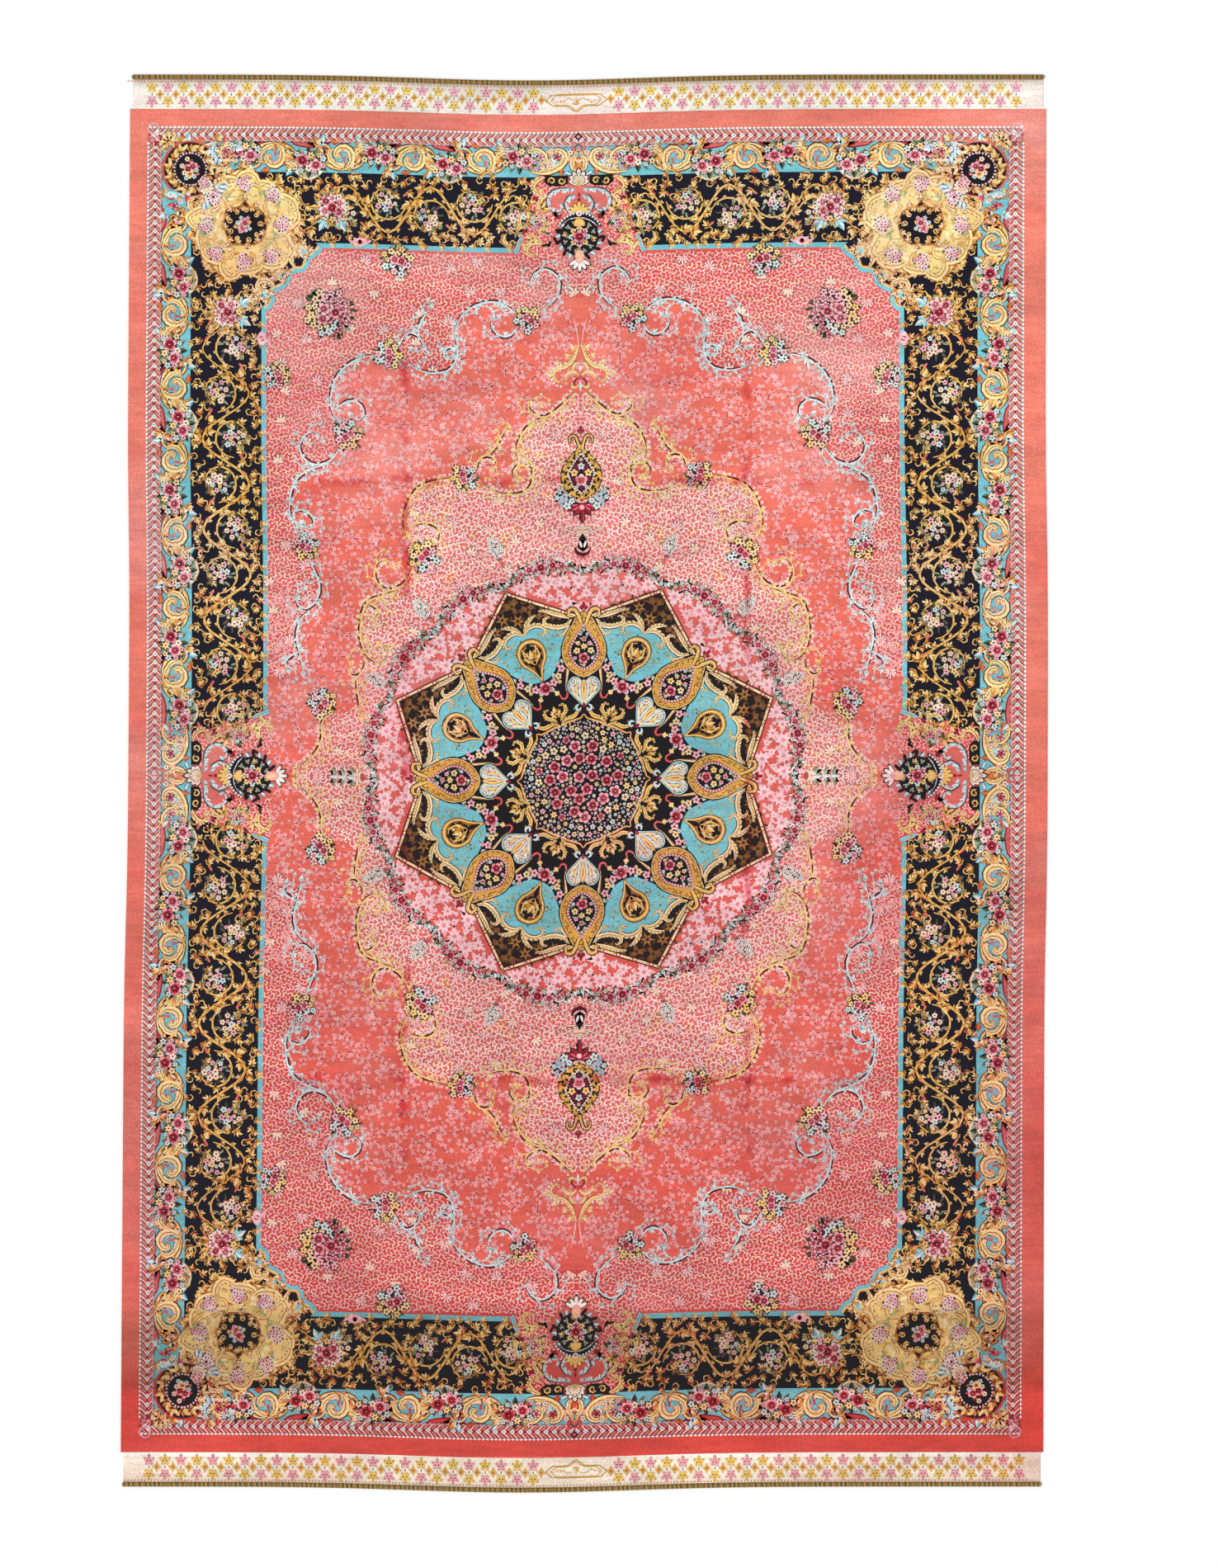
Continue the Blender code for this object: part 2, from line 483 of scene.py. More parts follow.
def eased(arrays, longest=8.5):
    # Splits the large faces that lie on a crease, so that they follow it
    points, tris, paint = arrays
    for _ in range(6):
        corners = points[tris]
        sides = np.linalg.norm(corners[:, :, :2] - np.roll(corners[:, :, :2], 1, axis=1), axis=2).max(axis=1)
        middle = corners.mean(axis=1)
        spots = np.concatenate((corners, middle[:, None]), axis=1)
        x, y = trueFromCartoon(spots[:, :, 0], spots[:, :, 1])
        split = (sides > longest) & ((lift(x, y).max(axis=1) > 1e-5) | (sides > 40))
        if not split.any():
            break
        old = tris[split]
        pairs = np.stack((old[:, [0, 1]], old[:, [1, 2]], old[:, [2, 0]]), axis=1)
        newPoints = points[pairs].mean(axis=2).reshape(-1, 3)
        newPaint = paint[pairs].mean(axis=2).reshape(-1, 3)
        ids = len(points) + np.arange(len(newPoints)).reshape(-1, 3)
        points, paint = np.concatenate((points, newPoints)), np.concatenate((paint, newPaint))
        a, b, c = old.T
        ab, bc, ca = ids.T
        quads = np.concatenate([np.column_stack(t) for t in ((a, ab, ca), (ab, b, bc), (ca, bc, c), (ab, bc, ca))])
        tris = np.concatenate((tris[~split], quads))
    return points, tris, paint


def bakeMap(mesh):
    # A flat map seen from above, so that a picture of the piece lies true on it
    spots = np.empty(len(mesh.vertices) * 3)
    mesh.vertices.foreach_get("co", spots)
    spots = spots.reshape(-1, 3)[:, :2]
    low, high = spots.min(axis=0), spots.max(axis=0)
    flat = (spots - low) / (high - low)
    corners = np.empty(len(mesh.loops), int)
    mesh.loops.foreach_get("vertex_index", corners)
    layer = mesh.uv_layers.new(name="OFBake")
    layer.data.foreach_set("uv", flat[corners].ravel())


def layInlay(name, arrays, level=0.0):
    # Lays a drawing on the rug as one piece
    points, tris, paint = eased(arrays)
    placed = layOn(points[:, 0], points[:, 1], points[:, 2] + level)
    mesh = bpy.data.meshes.new(name)
    mesh.vertices.add(len(placed))
    mesh.vertices.foreach_set("co", placed.ravel())
    mesh.loops.add(len(tris) * 3)
    mesh.loops.foreach_set("vertex_index", tris.ravel().astype(np.int32))
    mesh.polygons.add(len(tris))
    mesh.polygons.foreach_set("loop_start", np.arange(0, len(tris) * 3, 3, dtype=np.int32))
    mesh.update(calc_edges=True)
    layer = mesh.color_attributes.new("pileColour", "FLOAT_COLOR", "POINT")
    layer.data.foreach_set("color", np.column_stack((paint, np.ones(len(paint)))).ravel())
    bakeMap(mesh)
    piece = linked(bpy.data.objects.new(name, mesh))
    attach(piece, "root")
    mesh.materials.append(silkPile)
    print(name, len(tris), "triangles")
    return piece


# Silk pile material
class nodeDesk:
    # Short words for joining nodes
    def __init__(self, tree):
        self.tree = tree

    def add(self, kind, **settings):
        node = self.tree.nodes.new(kind)
        for key, value in settings.items():
            setattr(node, key, value)
        return node

    def feed(self, socket, value):
        if isinstance(value, (int, float, tuple)):
            socket.default_value = value
        else:
            self.tree.links.new(value, socket)

    def sums(self, operation, a, b=0.0):
        node = self.add("ShaderNodeMath", operation=operation)
        self.feed(node.inputs[0], a)
        self.feed(node.inputs[1], b)
        return node.outputs[0]

    def times(self, product, *others):
        for other in others:
            product = self.sums("MULTIPLY", product, other)
        return product

    def ramp(self, value, low, high, fromValue, toValue):
        node = self.add("ShaderNodeMapRange", interpolation_type="SMOOTHSTEP")
        for socket, given in zip(node.inputs[:5], (value, low, high, fromValue, toValue)):
            self.feed(socket, given)
        return node.outputs[0]

    def noise(self, vector, scale, detail, stretch=(1.0, 1.0, 1.0)):
        mapping = self.add("ShaderNodeMapping")
        mapping.inputs["Scale"].default_value = stretch
        self.feed(mapping.inputs["Vector"], vector)
        node = self.add("ShaderNodeTexNoise")
        self.feed(node.inputs["Vector"], mapping.outputs[0])
        node.inputs["Scale"].default_value = scale
        node.inputs["Detail"].default_value = detail
        return node.outputs[0]

    def mix(self, kind, colour, factor, other):
        node = self.add("ShaderNodeMix", data_type="RGBA", blend_type=kind)
        for socket, given in zip((node.inputs[0], node.inputs[6], node.inputs[7]), (factor, colour, other)):
            self.feed(socket, given)
        return node.outputs[2]

    def tint(self, colour, factor, tone):
        return self.mix("MULTIPLY", colour, factor, tone)

    def shaded(self, shader, colour, shade):
        mixed = self.add("ShaderNodeVectorMath", operation="SCALE")
        self.feed(mixed.inputs[0], colour)
        self.feed(mixed.inputs["Scale"], shade)
        self.feed(shader.inputs["Base Color"], mixed.outputs[0])

    def relief(self, shader, height, strength, distance):
        bump = self.add("ShaderNodeBump")
        bump.inputs["Strength"].default_value = strength
        bump.inputs["Distance"].default_value = distance
        self.feed(bump.inputs["Height"], height)
        self.feed(shader.inputs["Normal"], bump.outputs[0])
        return bump


pileLook = {
    "knot": 0.0017,  # metres between knots
    "knotJitter": 0.34,
    # painted sheen and shade on the nap: streaks, patches, crumples, pale lights and crimson patches
    "napStreak": 0.14,
    "napPatch": 0.16,
    "paintedCrumpleShade": 0.14,
    # painted sheen: how strongly pale patches lighten the nap
    "napSheen": 0.22,
    # painted shade: how deep the crimson nap patches and bars are
    "paintedNapShade": 0.42,
    "roughness": 0.66,
    "sheen": 0.06,
    "flatFoldShades": [  # painted shade along faint old fold lines that left no relief
        {"runs": "along_y", "across": -0.014, "start": 0.30, "end": 1.15, "foldShadeStrength": 0.30},
        {"runs": "along_y", "across": -0.014, "start": -1.15, "end": -0.40, "foldShadeStrength": 0.30},
        {"runs": "along_x", "across": 0.010, "start": -0.85, "end": -0.40, "foldShadeStrength": 0.25},
        {"runs": "along_x", "across": 0.965, "start": -0.75, "end": 0.60, "foldShadeStrength": 0.20},
        {"runs": "along_x", "across": 0.330, "start": -0.80, "end": -0.30, "foldShadeStrength": 0.25},
    ],
}


def makePileMaterial(name, look):
    material, tree, shader = principled(name, (0.8, 0.2, 0.15), look["roughness"])
    desk = nodeDesk(tree)
    place = desk.add("ShaderNodeTexCoord").outputs["Object"]
    colour = desk.add("ShaderNodeAttribute", attribute_name="pileColour").outputs["Color"]
    split = desk.add("ShaderNodeSeparateXYZ")
    desk.feed(split.inputs[0], place)
    x, y = split.outputs[0], split.outputs[1]
    channels = desk.add("ShaderNodeSeparateColor")
    desk.feed(channels.inputs[0], colour)
    red, green, blue = channels.outputs[:3]

    def swing(value, low, high, amount):
        return desk.ramp(value, low, high, 1.0 - amount / 2, 1.0 + amount / 2)

    # knots: each one a little lighter or darker
    snap = desk.add("ShaderNodeVectorMath", operation="SNAP")
    desk.feed(snap.inputs[0], place)
    snap.inputs[1].default_value = (look["knot"], look["knot"], 1.0)
    speck = desk.add("ShaderNodeTexWhiteNoise")
    desk.feed(speck.inputs[0], snap.outputs[0])
    jitter = swing(speck.outputs[0], 0.0, 1.0, look["knotJitter"])
    # painted sheen and shade over the knots' own tone: fine sheen streaks along the wefts, brushed sheen patches and
    # the shade of soft crumples
    streak = swing(desk.noise(place, 60.0, 3.0, (0.30, 2.2, 1.0)), 0.30, 0.70, look["napStreak"])
    patch = swing(desk.noise(place, 4.2, 6.0, (0.8, 1.2, 1.0)), 0.36, 0.64, look["napPatch"])
    paintedCrumpleShade = swing(desk.noise(place, 15.0, 5.0, (0.7, 1.7, 1.0)), 0.34, 0.66, look["paintedCrumpleShade"])
    shade = desk.times(jitter, streak, patch, paintedCrumpleShade)
    # painted sheen: pale patches where the nap leans towards the window, stronger towards the top end
    paintedSheen = desk.ramp(desk.noise(place, 2.6, 6.0, (1.0, 1.3, 1.0)), 0.46, 0.70, 0.0, 1.0)
    paintedSheen = desk.times(paintedSheen, desk.ramp(y, -1.2, 1.3, 0.35, 1.0), desk.ramp(red, 0.15, 0.60, 0.0, 1.0), look["napSheen"])
    colour = desk.mix("MIX", colour, paintedSheen, (0.95, 0.78, 0.74, 1.0))
    # painted shade: crimson patches and bars where the nap leans away from the window
    bright = desk.ramp(red, 0.35, 0.75, 0.0, 1.0)
    paintedNapShade = desk.ramp(desk.noise(place, 2.1, 6.0, (1.0, 1.5, 1.0)), 0.49, 0.66, 0.0, look["paintedNapShade"])
    colour = desk.tint(colour, desk.times(paintedNapShade, bright), (0.90, 0.58, 0.64, 1.0))
    paintedShadeBars = desk.ramp(desk.noise(place, 6.0, 5.0, (0.45, 2.6, 1.0)), 0.50, 0.70, 0.0, look["paintedNapShade"])
    colour = desk.tint(colour, desk.times(paintedShadeBars, bright), (0.92, 0.66, 0.72, 1.0))
    # painted shade: deep crimson lines along the creases and the old fold lines, broken up by noise
    waver = desk.ramp(desk.noise(place, 9.0, 4.0), 0.2, 0.8, -0.010, 0.010)
    creaseBreakup = desk.ramp(desk.noise(place, 16.0, 5.0), 0.44, 0.62, 0.0, 1.0)
    for crease in [*rug["creases"], *look["flatFoldShades"]]:
        across, run = (x, y) if crease["runs"] == "along_y" else (y, x)
        away = desk.sums("SUBTRACT", desk.sums("ADD", across, waver), crease["across"] + 0.004)
        line = desk.ramp(desk.sums("ABSOLUTE", away), 0.002, 0.017, 1.0, 0.0)
        middle, half = (crease["start"] + crease["end"]) / 2, (crease["end"] - crease["start"]) / 2
        inside = desk.ramp(desk.sums("ABSOLUTE", desk.sums("SUBTRACT", run, middle)), half - 0.30, half, 1.0, 0.0)
        depth = desk.times(line, inside, creaseBreakup, crease.get("foldShadeStrength", 1.0))
        colour = desk.tint(colour, depth, (0.78, 0.30, 0.36, 1.0))
    # painted shade and sheen: the silk is painted paler towards its top end and deeper towards its foot, darker still
    # over the foot's red band, navy band and right side; the flatwoven foot end is tinted darker and warmer
    toEnd = desk.sums("ABSOLUTE", y)
    undyed = desk.times(desk.ramp(blue, 0.30, 0.60, 0.0, 0.85), desk.ramp(toEnd, 1.440, 1.452, 0.0, 1.0))
    undyed = desk.sums("MAXIMUM", undyed, desk.ramp(toEnd, 1.470, 1.474, 0.0, 1.0))
    silk = desk.sums("SUBTRACT", 1.0, undyed)
    reds = desk.ramp(green, 0.24, 0.36, 1.0, 0.0)
    paintedDeepening = desk.times(desk.ramp(y, -1.55, 1.30, 1.0, 0.0), desk.ramp(reds, 0.0, 1.0, 0.62, 1.08), silk)
    footBandShade = desk.times(desk.ramp(y, -1.20, -1.36, 0.0, 1.0), desk.times(reds, silk))
    footNavyShade = desk.times(desk.ramp(y, -1.12, -1.18, 0.0, 1.0), desk.ramp(y, -1.34, -1.31, 0.0, 1.0))
    footKilim = desk.ramp(y, -1.470, -1.474, 0.0, 1.0)
    rightFootShade = desk.times(desk.ramp(x, 0.80, 1.00, 0.0, 1.0), desk.ramp(y, -0.05, -0.45, 0.0, 1.0), 0.6)
    for where, tone in ((paintedDeepening, (0.82, 0.58, 0.60)), (footBandShade, (0.97, 0.50, 0.48)), (footNavyShade, (0.72, 0.72, 0.66)),
                        (footKilim, (0.94, 0.84, 0.76)), (rightFootShade, (0.92, 0.66, 0.68))):
        colour = desk.tint(colour, where, (*tone, 1.0))
    # painted highlight: a little lighter towards the top right
    paintedLightTopRight = desk.times(desk.ramp(x, -0.2, 1.00, 0.0, 1.0), desk.ramp(y, -0.2, 0.6, 0.0, 1.0))
    desk.shaded(shader, colour, desk.times(shade, desk.ramp(paintedLightTopRight, 0.0, 1.0, 1.0, 1.07)))
    shader.inputs["Sheen Weight"].default_value = look["sheen"]
    shader.inputs["Sheen Roughness"].default_value = 0.45
    shader.inputs["Specular IOR Level"].default_value = 0.20
    # knot heads in relief
    heads = desk.add("ShaderNodeTexVoronoi", feature="F1", distance="EUCLIDEAN")
    desk.feed(heads.inputs["Vector"], place)
    heads.inputs["Scale"].default_value = 1.0 / look["knot"]
    heads.inputs["Randomness"].default_value = 0.35
    desk.relief(shader, heads.outputs["Distance"], 0.35, 0.0006).invert = True
    return material


silkPile = makePileMaterial("silkPile", pileLook)
print("pile material made")


# The cloth itself
ground = {"pitch": 0.026, "creasePitch": 0.0112, "search": 0.004}


def groundLines(fixed, runs):
    # Grid lines on the cartoon, in squares: every band's edge, and lines close together over the creases
    lines = sorted({side * place for place in fixed for side in (-1, 1)} | {0.0})
    filled = [lines[0]]
    for low, high in zip(lines, lines[1:]):
        spots = np.linspace(low, high, max(2, math.ceil((high - low) * square / ground["search"])))
        if runs == "along_y":
            place = trueFromCartoon(spots, 0 * spots)[0]
        else:
            place = trueFromCartoon(0 * spots, spots)[1]
        near = np.zeros(len(spots), bool)
        for crease in rug["creases"]:
            if crease["runs"] == runs:
                near |= np.abs(place - crease["across"]) < 2.1 * crease["reach"]
        last = low
        for spot, close in zip(spots[1:-1], near[1:-1]):
            pitch = ground["creasePitch"] if close else ground["pitch"]
            if (spot - last) * square >= pitch and (high - spot) * square > pitch * 0.6:
                filled.append(spot)
                last = spot
        filled.append(high)
    return np.array(filled)


def makeGround():
    acrossKeys = ("edge", "chevronOut", "chevronIn", "scrollIn", "navyOut", "navyIn", "fieldSide")
    alongKeys = ("pileEnd", "chevronTop", "chevronLow", "scrollLow", "navyTop", "navyLow", "fieldEnd")
    pileEnd, kilimEdge = bands["pileEnd"], bands["kilimEnd"]
    columns = groundLines([bands[key] for key in acrossKeys] + [552.6, 550.5], "along_y")
    rows = groundLines([bands[key] for key in alongKeys] + [pileEnd - 1.5, pileEnd + 0.8, pileEnd + 1.66, kilimEdge],
                       "along_x")
    cloth = bmesh.new()
    bmesh.ops.create_grid(cloth, x_segments=len(columns) - 1, y_segments=len(rows) - 1, size=0.5)
    cloth.verts.ensure_lookup_table()
    spots = np.array([vertex.co[:2] for vertex in cloth.verts]) + 0.5
    u = columns[np.round(spots[:, 0] * (len(columns) - 1)).astype(int)]
    v = rows[np.round(spots[:, 1] * (len(rows) - 1)).astype(int)]
    x, y = trueFromCartoon(u, v)
    endY = np.sign(y) * (rug["pileLength"] / 2 + rug["kilimLength"])
    y = np.where(np.abs(v) >= kilimEdge - 0.01, endY, y)
    onKilim = np.abs(v) > kilimStart
    plain = u / bands["edge"] * rug["width"] / 2
    x = np.where(np.abs(v) > pileEnd - 2.0, plain + (x - plain) * np.where(onKilim, 0.0, 1.0), x)
    placedX, placedY = drawnIn(x, y, onKilim)
    height = lift(x, y)
    share = np.ones(len(u))  # of the pile's thickness: it thins over the selvedges and down to the flatwoven ends
    for spot, edge, value in ((np.abs(u), bands["edge"] - 2.0, 0.93), (np.abs(u), bands["edge"] - 0.5, 0.66),
                              (np.abs(v), pileEnd - 0.5, 0.94), (np.abs(v), pileEnd + 0.5, 0.62),
                              (np.abs(v), kilimStart, rug["kilimThickness"] / rug["pileThickness"])):
        share[spot > edge] = value
    for vertex, a, b, c in zip(cloth.verts, placedX, placedY, height):
        vertex.co = (a, b, c)
    mesh = bpy.data.meshes.new("rugCloth")
    cloth.to_mesh(mesh)
    cloth.free()
    piece = linked(bpy.data.objects.new("rugCloth", mesh))
    group = piece.vertex_groups.new(name="thickness")
    for value in np.unique(share):
        group.add([int(i) for i in np.where(share == value)[0]], float(value), "REPLACE")
    # one colour for each face, by the band that it lies in
    loopVerts = np.empty(len(mesh.loops), int)
    mesh.loops.foreach_get("vertex_index", loopVerts)
    faceU = np.abs(u[loopVerts].reshape(-1, 4).mean(axis=1))
    faceV = np.abs(v[loopVerts].reshape(-1, 4).mean(axis=1))
    paint = np.tile(dyes["fieldRed"], (len(faceU), 1))
    for acrossKey, alongKey, colour in (("fieldSide", "fieldEnd", "turquoise"), ("navyIn", "navyLow", "navy"),
                                        ("navyOut", "navyTop", "turquoise"),
                                        ("chevronIn", "chevronLow", dye(212, 100, 86)),
                                        ("chevronOut", "chevronTop", "coral")):
        paint[(faceU > bands[acrossKey]) | (faceV > bands[alongKey])] = dyed(colour)
    paint[faceV > pileEnd + 0.9] = dyes["kilim"]
    layer = mesh.color_attributes.new("pileColour", "FLOAT_COLOR", "CORNER")
    corners = np.repeat(np.column_stack((paint, np.ones(len(paint)))), 4, axis=0)
    layer.data.foreach_set("color", corners.ravel())
    bakeMap(mesh)
    mesh.materials.append(silkPile)
    thicken = piece.modifiers.new("pile", "SOLIDIFY")
    thicken.thickness = rug["pileThickness"]
    thicken.offset = 1.0
    thicken.use_even_offset = False
    thicken.vertex_group = group.name
    mesh.shade_smooth()
    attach(piece, "root")
    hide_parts("woven_rug")
    print("rugCloth", len(columns), "x", len(rows), "lines")
    return piece


rugCloth = makeGround()


# Flowers and leaves
def motifOf(build, across=2.0):
    # A motif of unit size, across units wide: its full drawing and two plainer ones
    versions, before = [], sketch["plain"]
    for plain in (0, 1, 2):
        sketch["plain"] = plain
        drawing = newDrawing()
        build(drawing)
        versions.append(collect(drawing))
    sketch["plain"] = before
    return versions, across


def roseOf(outer, inner, heart, backing):
    def build(d):
        blot(d, 0, 0, 1.12, 1.12, 0.3, backing, backing, 0, 9, lambda xy: lobeForm(xy, 5, 0.06))
        for k in range(5):
            angle = k * 2 * math.pi / 5 + 0.3
            blot(d, 0.52 * math.cos(angle), 0.52 * math.sin(angle), 0.50, 0.44, angle, inner, outer, 1, 8)
        for k in range(4):
            angle = k * math.pi / 2 + 0.8
            blot(d, 0.27 * math.cos(angle), 0.27 * math.sin(angle), 0.34, 0.30, angle, heart, inner, 2, 7)
        blot(d, 0.02, 0.03, 0.24, 0.20, 0.5, outer, heart, 3, 7)
        for k, reach in ((0, 0.74), (1, 0.70), (3, 0.74)):
            angle = k * 2 * math.pi / 5 + 0.3
            blot(d, reach * math.cos(angle), reach * math.sin(angle), 0.10, 0.30, angle, outer, "ivory", 3, 6, leafForm)
    return motifOf(build)


def blossomOf(petal, petalRim, heart, backing=None, petals=5, corners=6):
    def build(d):
        if backing is not None:
            blot(d, 0, 0, 1.14, 1.14, 0, backing, backing, 0, 8)
        for k in range(petals):
            angle = k * 2 * math.pi / petals + math.pi / 2
            blot(d, 0.56 * math.cos(angle), 0.56 * math.sin(angle), 0.46, 0.40, angle, petal, petalRim, 1, corners)
        blot(d, 0, 0, 0.30, 0.30, 0, heart, heart, 2, 6)
    return motifOf(build)


def starOf(fill, rim, heart, points=6, depth=0.45, backing=None):
    def build(d):
        if backing is not None:
            blot(d, 0, 0, 1.25, 1.25, 0, backing, backing, 0, 2 * points, lambda xy: starForm(xy, points, 0.55))
        blot(d, 0, 0, 1.0, 1.0, 0, fill, rim, 1, 2 * points, lambda xy: starForm(xy, points, depth))
        blot(d, 0, 0, 0.26, 0.26, 0, heart, heart, 2, 5)
    return motifOf(build)


def leafOf(light, dark, outline=None):
    # A pointed leaf one unit long, growing along +Y from its stalk, one half in shade
    def build(d):
        if outline is not None:
            blot(d, 0, 0.5, 0.36, 0.60, 0, outline, outline, 0, (8, 4, 4)[sketch["plain"]], leafForm)
        xy, tris = discShape((8, 6, 4)[sketch["plain"]], False)
        shaped = leafForm(xy) * (0.26, 0.5) + (0, 0.5)
        addPart(d, shaped, tris, np.where((shaped[:, 0] > 0.02)[:, None], dyed(dark), dyed(light)), 1.0)
    return motifOf(build, 1.0)


def trefoilOf(light, mid, dark, outline=None):
    # Three leaves on one stalk, growing along +Y
    def build(d):
        one = leafOf(light, dark, outline)
        two = leafOf(mid, dark, outline)
        stampMotif(d, two, 0.0, 0.10, 0.95, 0.66)
        stampMotif(d, two, 0.0, 0.10, -0.95, 0.66)
        stampMotif(d, one, 0.0, 0.12, 0.0, 0.92, 0.5)
        blot(d, 0, 0.12, 0.10, 0.16, 0, mid, dark, 1.2, 6)
    return motifOf(build, 1.0)


def palmetteOf(petals, light, dark, outline, heart, spread=2.3, plump=0.17):
    # A fan of petals, growing along +Y from its heart
    def build(d):
        for k in range(petals):
            share = k / (petals - 1) - 0.5
            angle = -share * spread
            long = 1.0 - 0.35 * abs(share) * 2
            blot(d, 0, 0, plump * 1.5, long * 1.08, angle, outline, outline, 0, 9, petalForm)
            blot(d, 0, 0, plump, long, angle, dark, light, 1 + 0.3 * (1 - abs(share)), 9, petalForm)
        blot(d, 0, 0.12, 0.20, 0.20, 0, heart, dark, 2, 8)
    return motifOf(build, 1.0)


def frondOf(light, mid, dark, outline=None):
    # A leaf with five lobes and a midrib, growing along +Y
    def build(d):
        one, two = leafOf(light, mid, outline), leafOf(mid, dark, outline)
        for side in (1, -1):
            stampMotif(d, two, 0.0, 0.05, side * 1.20, 0.52, 0.0, side < 0)
            stampMotif(d, one if side > 0 else two, 0.0, 0.26, side * 0.78, 0.58, 0.3, side < 0)
        stampMotif(d, one, 0.0, 0.28, 0.0, 0.76, 0.6)
        blot(d, 0.0, 0.34, 0.035, 0.30, 0, dark, dark, 2.0, 4)
    return motifOf(build, 1.0)


def curlOf(paint, light, deep):
    # A small sprig: a hooked stem with three leaflets
    def build(d):
        blot(d, 0.45, -0.5, 0.17, 0.42, 0.6, deep, deep, -0.1, 4)
        blot(d, -0.6, 0.45, 0.17, 0.42, 2.2, deep, deep, -0.1, 4)
        path = spiralPath(0.0, 0.0, 0.62, 0.22, -0.6, 0.66, 0.5)
        ribbon(d, path, 0.36, light, paint, 0.0, 0.7, 0.5)
        for angle, reach, size in ((2.4, 0.74, 0.80), (3.9, 0.70, 0.72), (5.4, 0.74, 0.78)):
            blot(d, reach * math.cos(angle), reach * math.sin(angle), 0.19, size * 0.5, angle + 0.9, light, paint,
                 0.1, 5)
    return motifOf(build)


motifs = {
    "rose": roseOf("pale", dye(222, 74, 96), "darkRed", "black"),
    "roseRed": roseOf("pink", dye(180, 24, 50), dye(96, 8, 24), "black"),
    "rosePink": roseOf("ivory", "pink", "red", "darkRed"),
    "cream": blossomOf("cream", "goldLight", "darkRed", "black"),
    "white": blossomOf("ivory", "turquoisePale", "goldDark", "black"),
    "yellow": blossomOf("yellow", "goldLight", "red", "black"),
    "pinkSmall": blossomOf("pink", "pale", "darkRed", "black"),
    "blue": blossomOf("turquoise", "ivory", "navy", "black"),
    "yellowStar": starOf("yellowPale", "goldLight", "red", 6, 0.5, "black"),
    "paleStar": starOf(dye(252, 196, 204), dye(255, 226, 226), dye(240, 150, 160), 8, 0.52),
    "goldLeaf": leafOf("goldLight", "goldDark"),
    "redLeaf": leafOf("coral", "red"),
    "darkLeaf": leafOf("green", "black"),
    "greenLeaf": leafOf("greenPale", "green"),
    "ghostLeaf": leafOf("ghost", "green"),
    "seaLeaf": leafOf("white", "turquoisePale"),
    "seaTrefoil": trefoilOf("white", "turquoisePale", "turquoise"),
    "softTrefoil": trefoilOf(dye(250, 184, 180), dye(248, 168, 168), dye(244, 152, 152)),
    "softBlossom": blossomOf(dye(248, 172, 176), dye(250, 190, 190), dye(226, 96, 92)),
    "paleSoft": blossomOf(dye(252, 204, 204), dye(252, 214, 210), dye(222, 90, 88)),
    "basketFlower": blossomOf("white", "ivory", dye(96, 60, 60), dye(70, 72, 60)),
    "goldFrond": frondOf("yellowPale", "gold", dye(184, 108, 40)),
    "orangeFrond": frondOf("goldLight", "orange", dye(150, 70, 34)),
    "creamFrond": frondOf("cream", "scrollMid", "orange", "scrollLine"),
    "seaFrond": frondOf("white", "turquoisePale", dye(150, 206, 200)),
    "paleFrond": frondOf("yellowPale", "yellow", "gold"),
    "scrollTongue": leafOf("scrollLight", "scrollMid", "scrollLine"),
    "cloudTongue": leafOf("yellowPale", "cloudMid", "cloudLine"),
    "shieldTongue": leafOf("scrollLight", "gold", "black"),
    "goldTongue": leafOf("goldLight", "gold", "black"),
    "greyGreenLeaf": leafOf(dye(150, 160, 132), dye(96, 112, 96)),
    "kiteLeaf": frondOf("goldLight", dye(238, 160, 84), dye(204, 104, 50), "scrollLine"),
    "tulip": palmetteOf(3, "yellowPale", "goldLight", "goldDark", "yellow", 1.2, 0.26),
    "ringFlower": blossomOf("goldLight", "cream", "darkRed", "black"),
    "dot": blossomOf("white", "white", "greyBlue", None, 3, 5),
    "dotPink": blossomOf("pale", "white", "rose", None, 3, 5),
    "goldTrefoil": trefoilOf("goldLight", "gold", "goldDark"),
    "shell": palmetteOf(7, "ivory", "gold", "brown", "turquoise"),
    "goldFan": palmetteOf(9, "goldLight", "gold", "goldDark", "cream", 2.6, 0.15),
    "speckle": leafOf(dye(186, 178, 104), dye(150, 176, 140)),
    "speckleDark": leafOf(dye(110, 150, 140), dye(176, 196, 150)),
    "oliveLeaf": leafOf(dye(112, 78, 36), dye(46, 30, 24)),
    "blackLeaf": leafOf("black", "black"),
    "paleLeaf": leafOf("pale", "pinkCurl"),
    "redTulip": palmetteOf(3, "red", "darkRed", "pale", "gold", 1.3, 0.24),
    "baySprig": curlOf(dye(250, 178, 178), dye(255, 214, 208), dye(158, 34, 50)),
    "baySprigPale": curlOf(dye(252, 204, 190), dye(255, 236, 218), dye(120, 40, 44)),
    "greyStar": starOf("turquoisePale", "greyBlue", "red", 5, 0.5),
    "redTulipDark": leafOf("red", "darkRed", "black"),
    "whiteDrop": leafOf("white", "greenPale", "black"),
    "seaLeafLined": leafOf("white", "turquoise", "turquoiseDark"),
    "creamFlower": blossomOf("ivory", "cream", "darkRed", "goldDark"),
    "orangeLeaf": leafOf("orange", "goldDark", "red"),
    "cloudLight": leafOf(dye(255, 244, 196), dye(250, 230, 160)),
    "cloudLeaf": leafOf("yellowPale", dye(248, 214, 128)),
    "cloudDark": leafOf(dye(238, 196, 110), dye(186, 122, 50)),
    "sprigFlower": blossomOf("white", "pale", "black"),
    "greyLeaf": leafOf("turquoisePale", "greyBlue"),
    "goldStar": starOf(dye(206, 152, 74), dye(150, 102, 46), "brown", 6, 0.36),
    "brownStar": starOf(dye(156, 108, 50), dye(110, 72, 36), "brown", 7, 0.4),
}
print("flowers and leaves drawn")


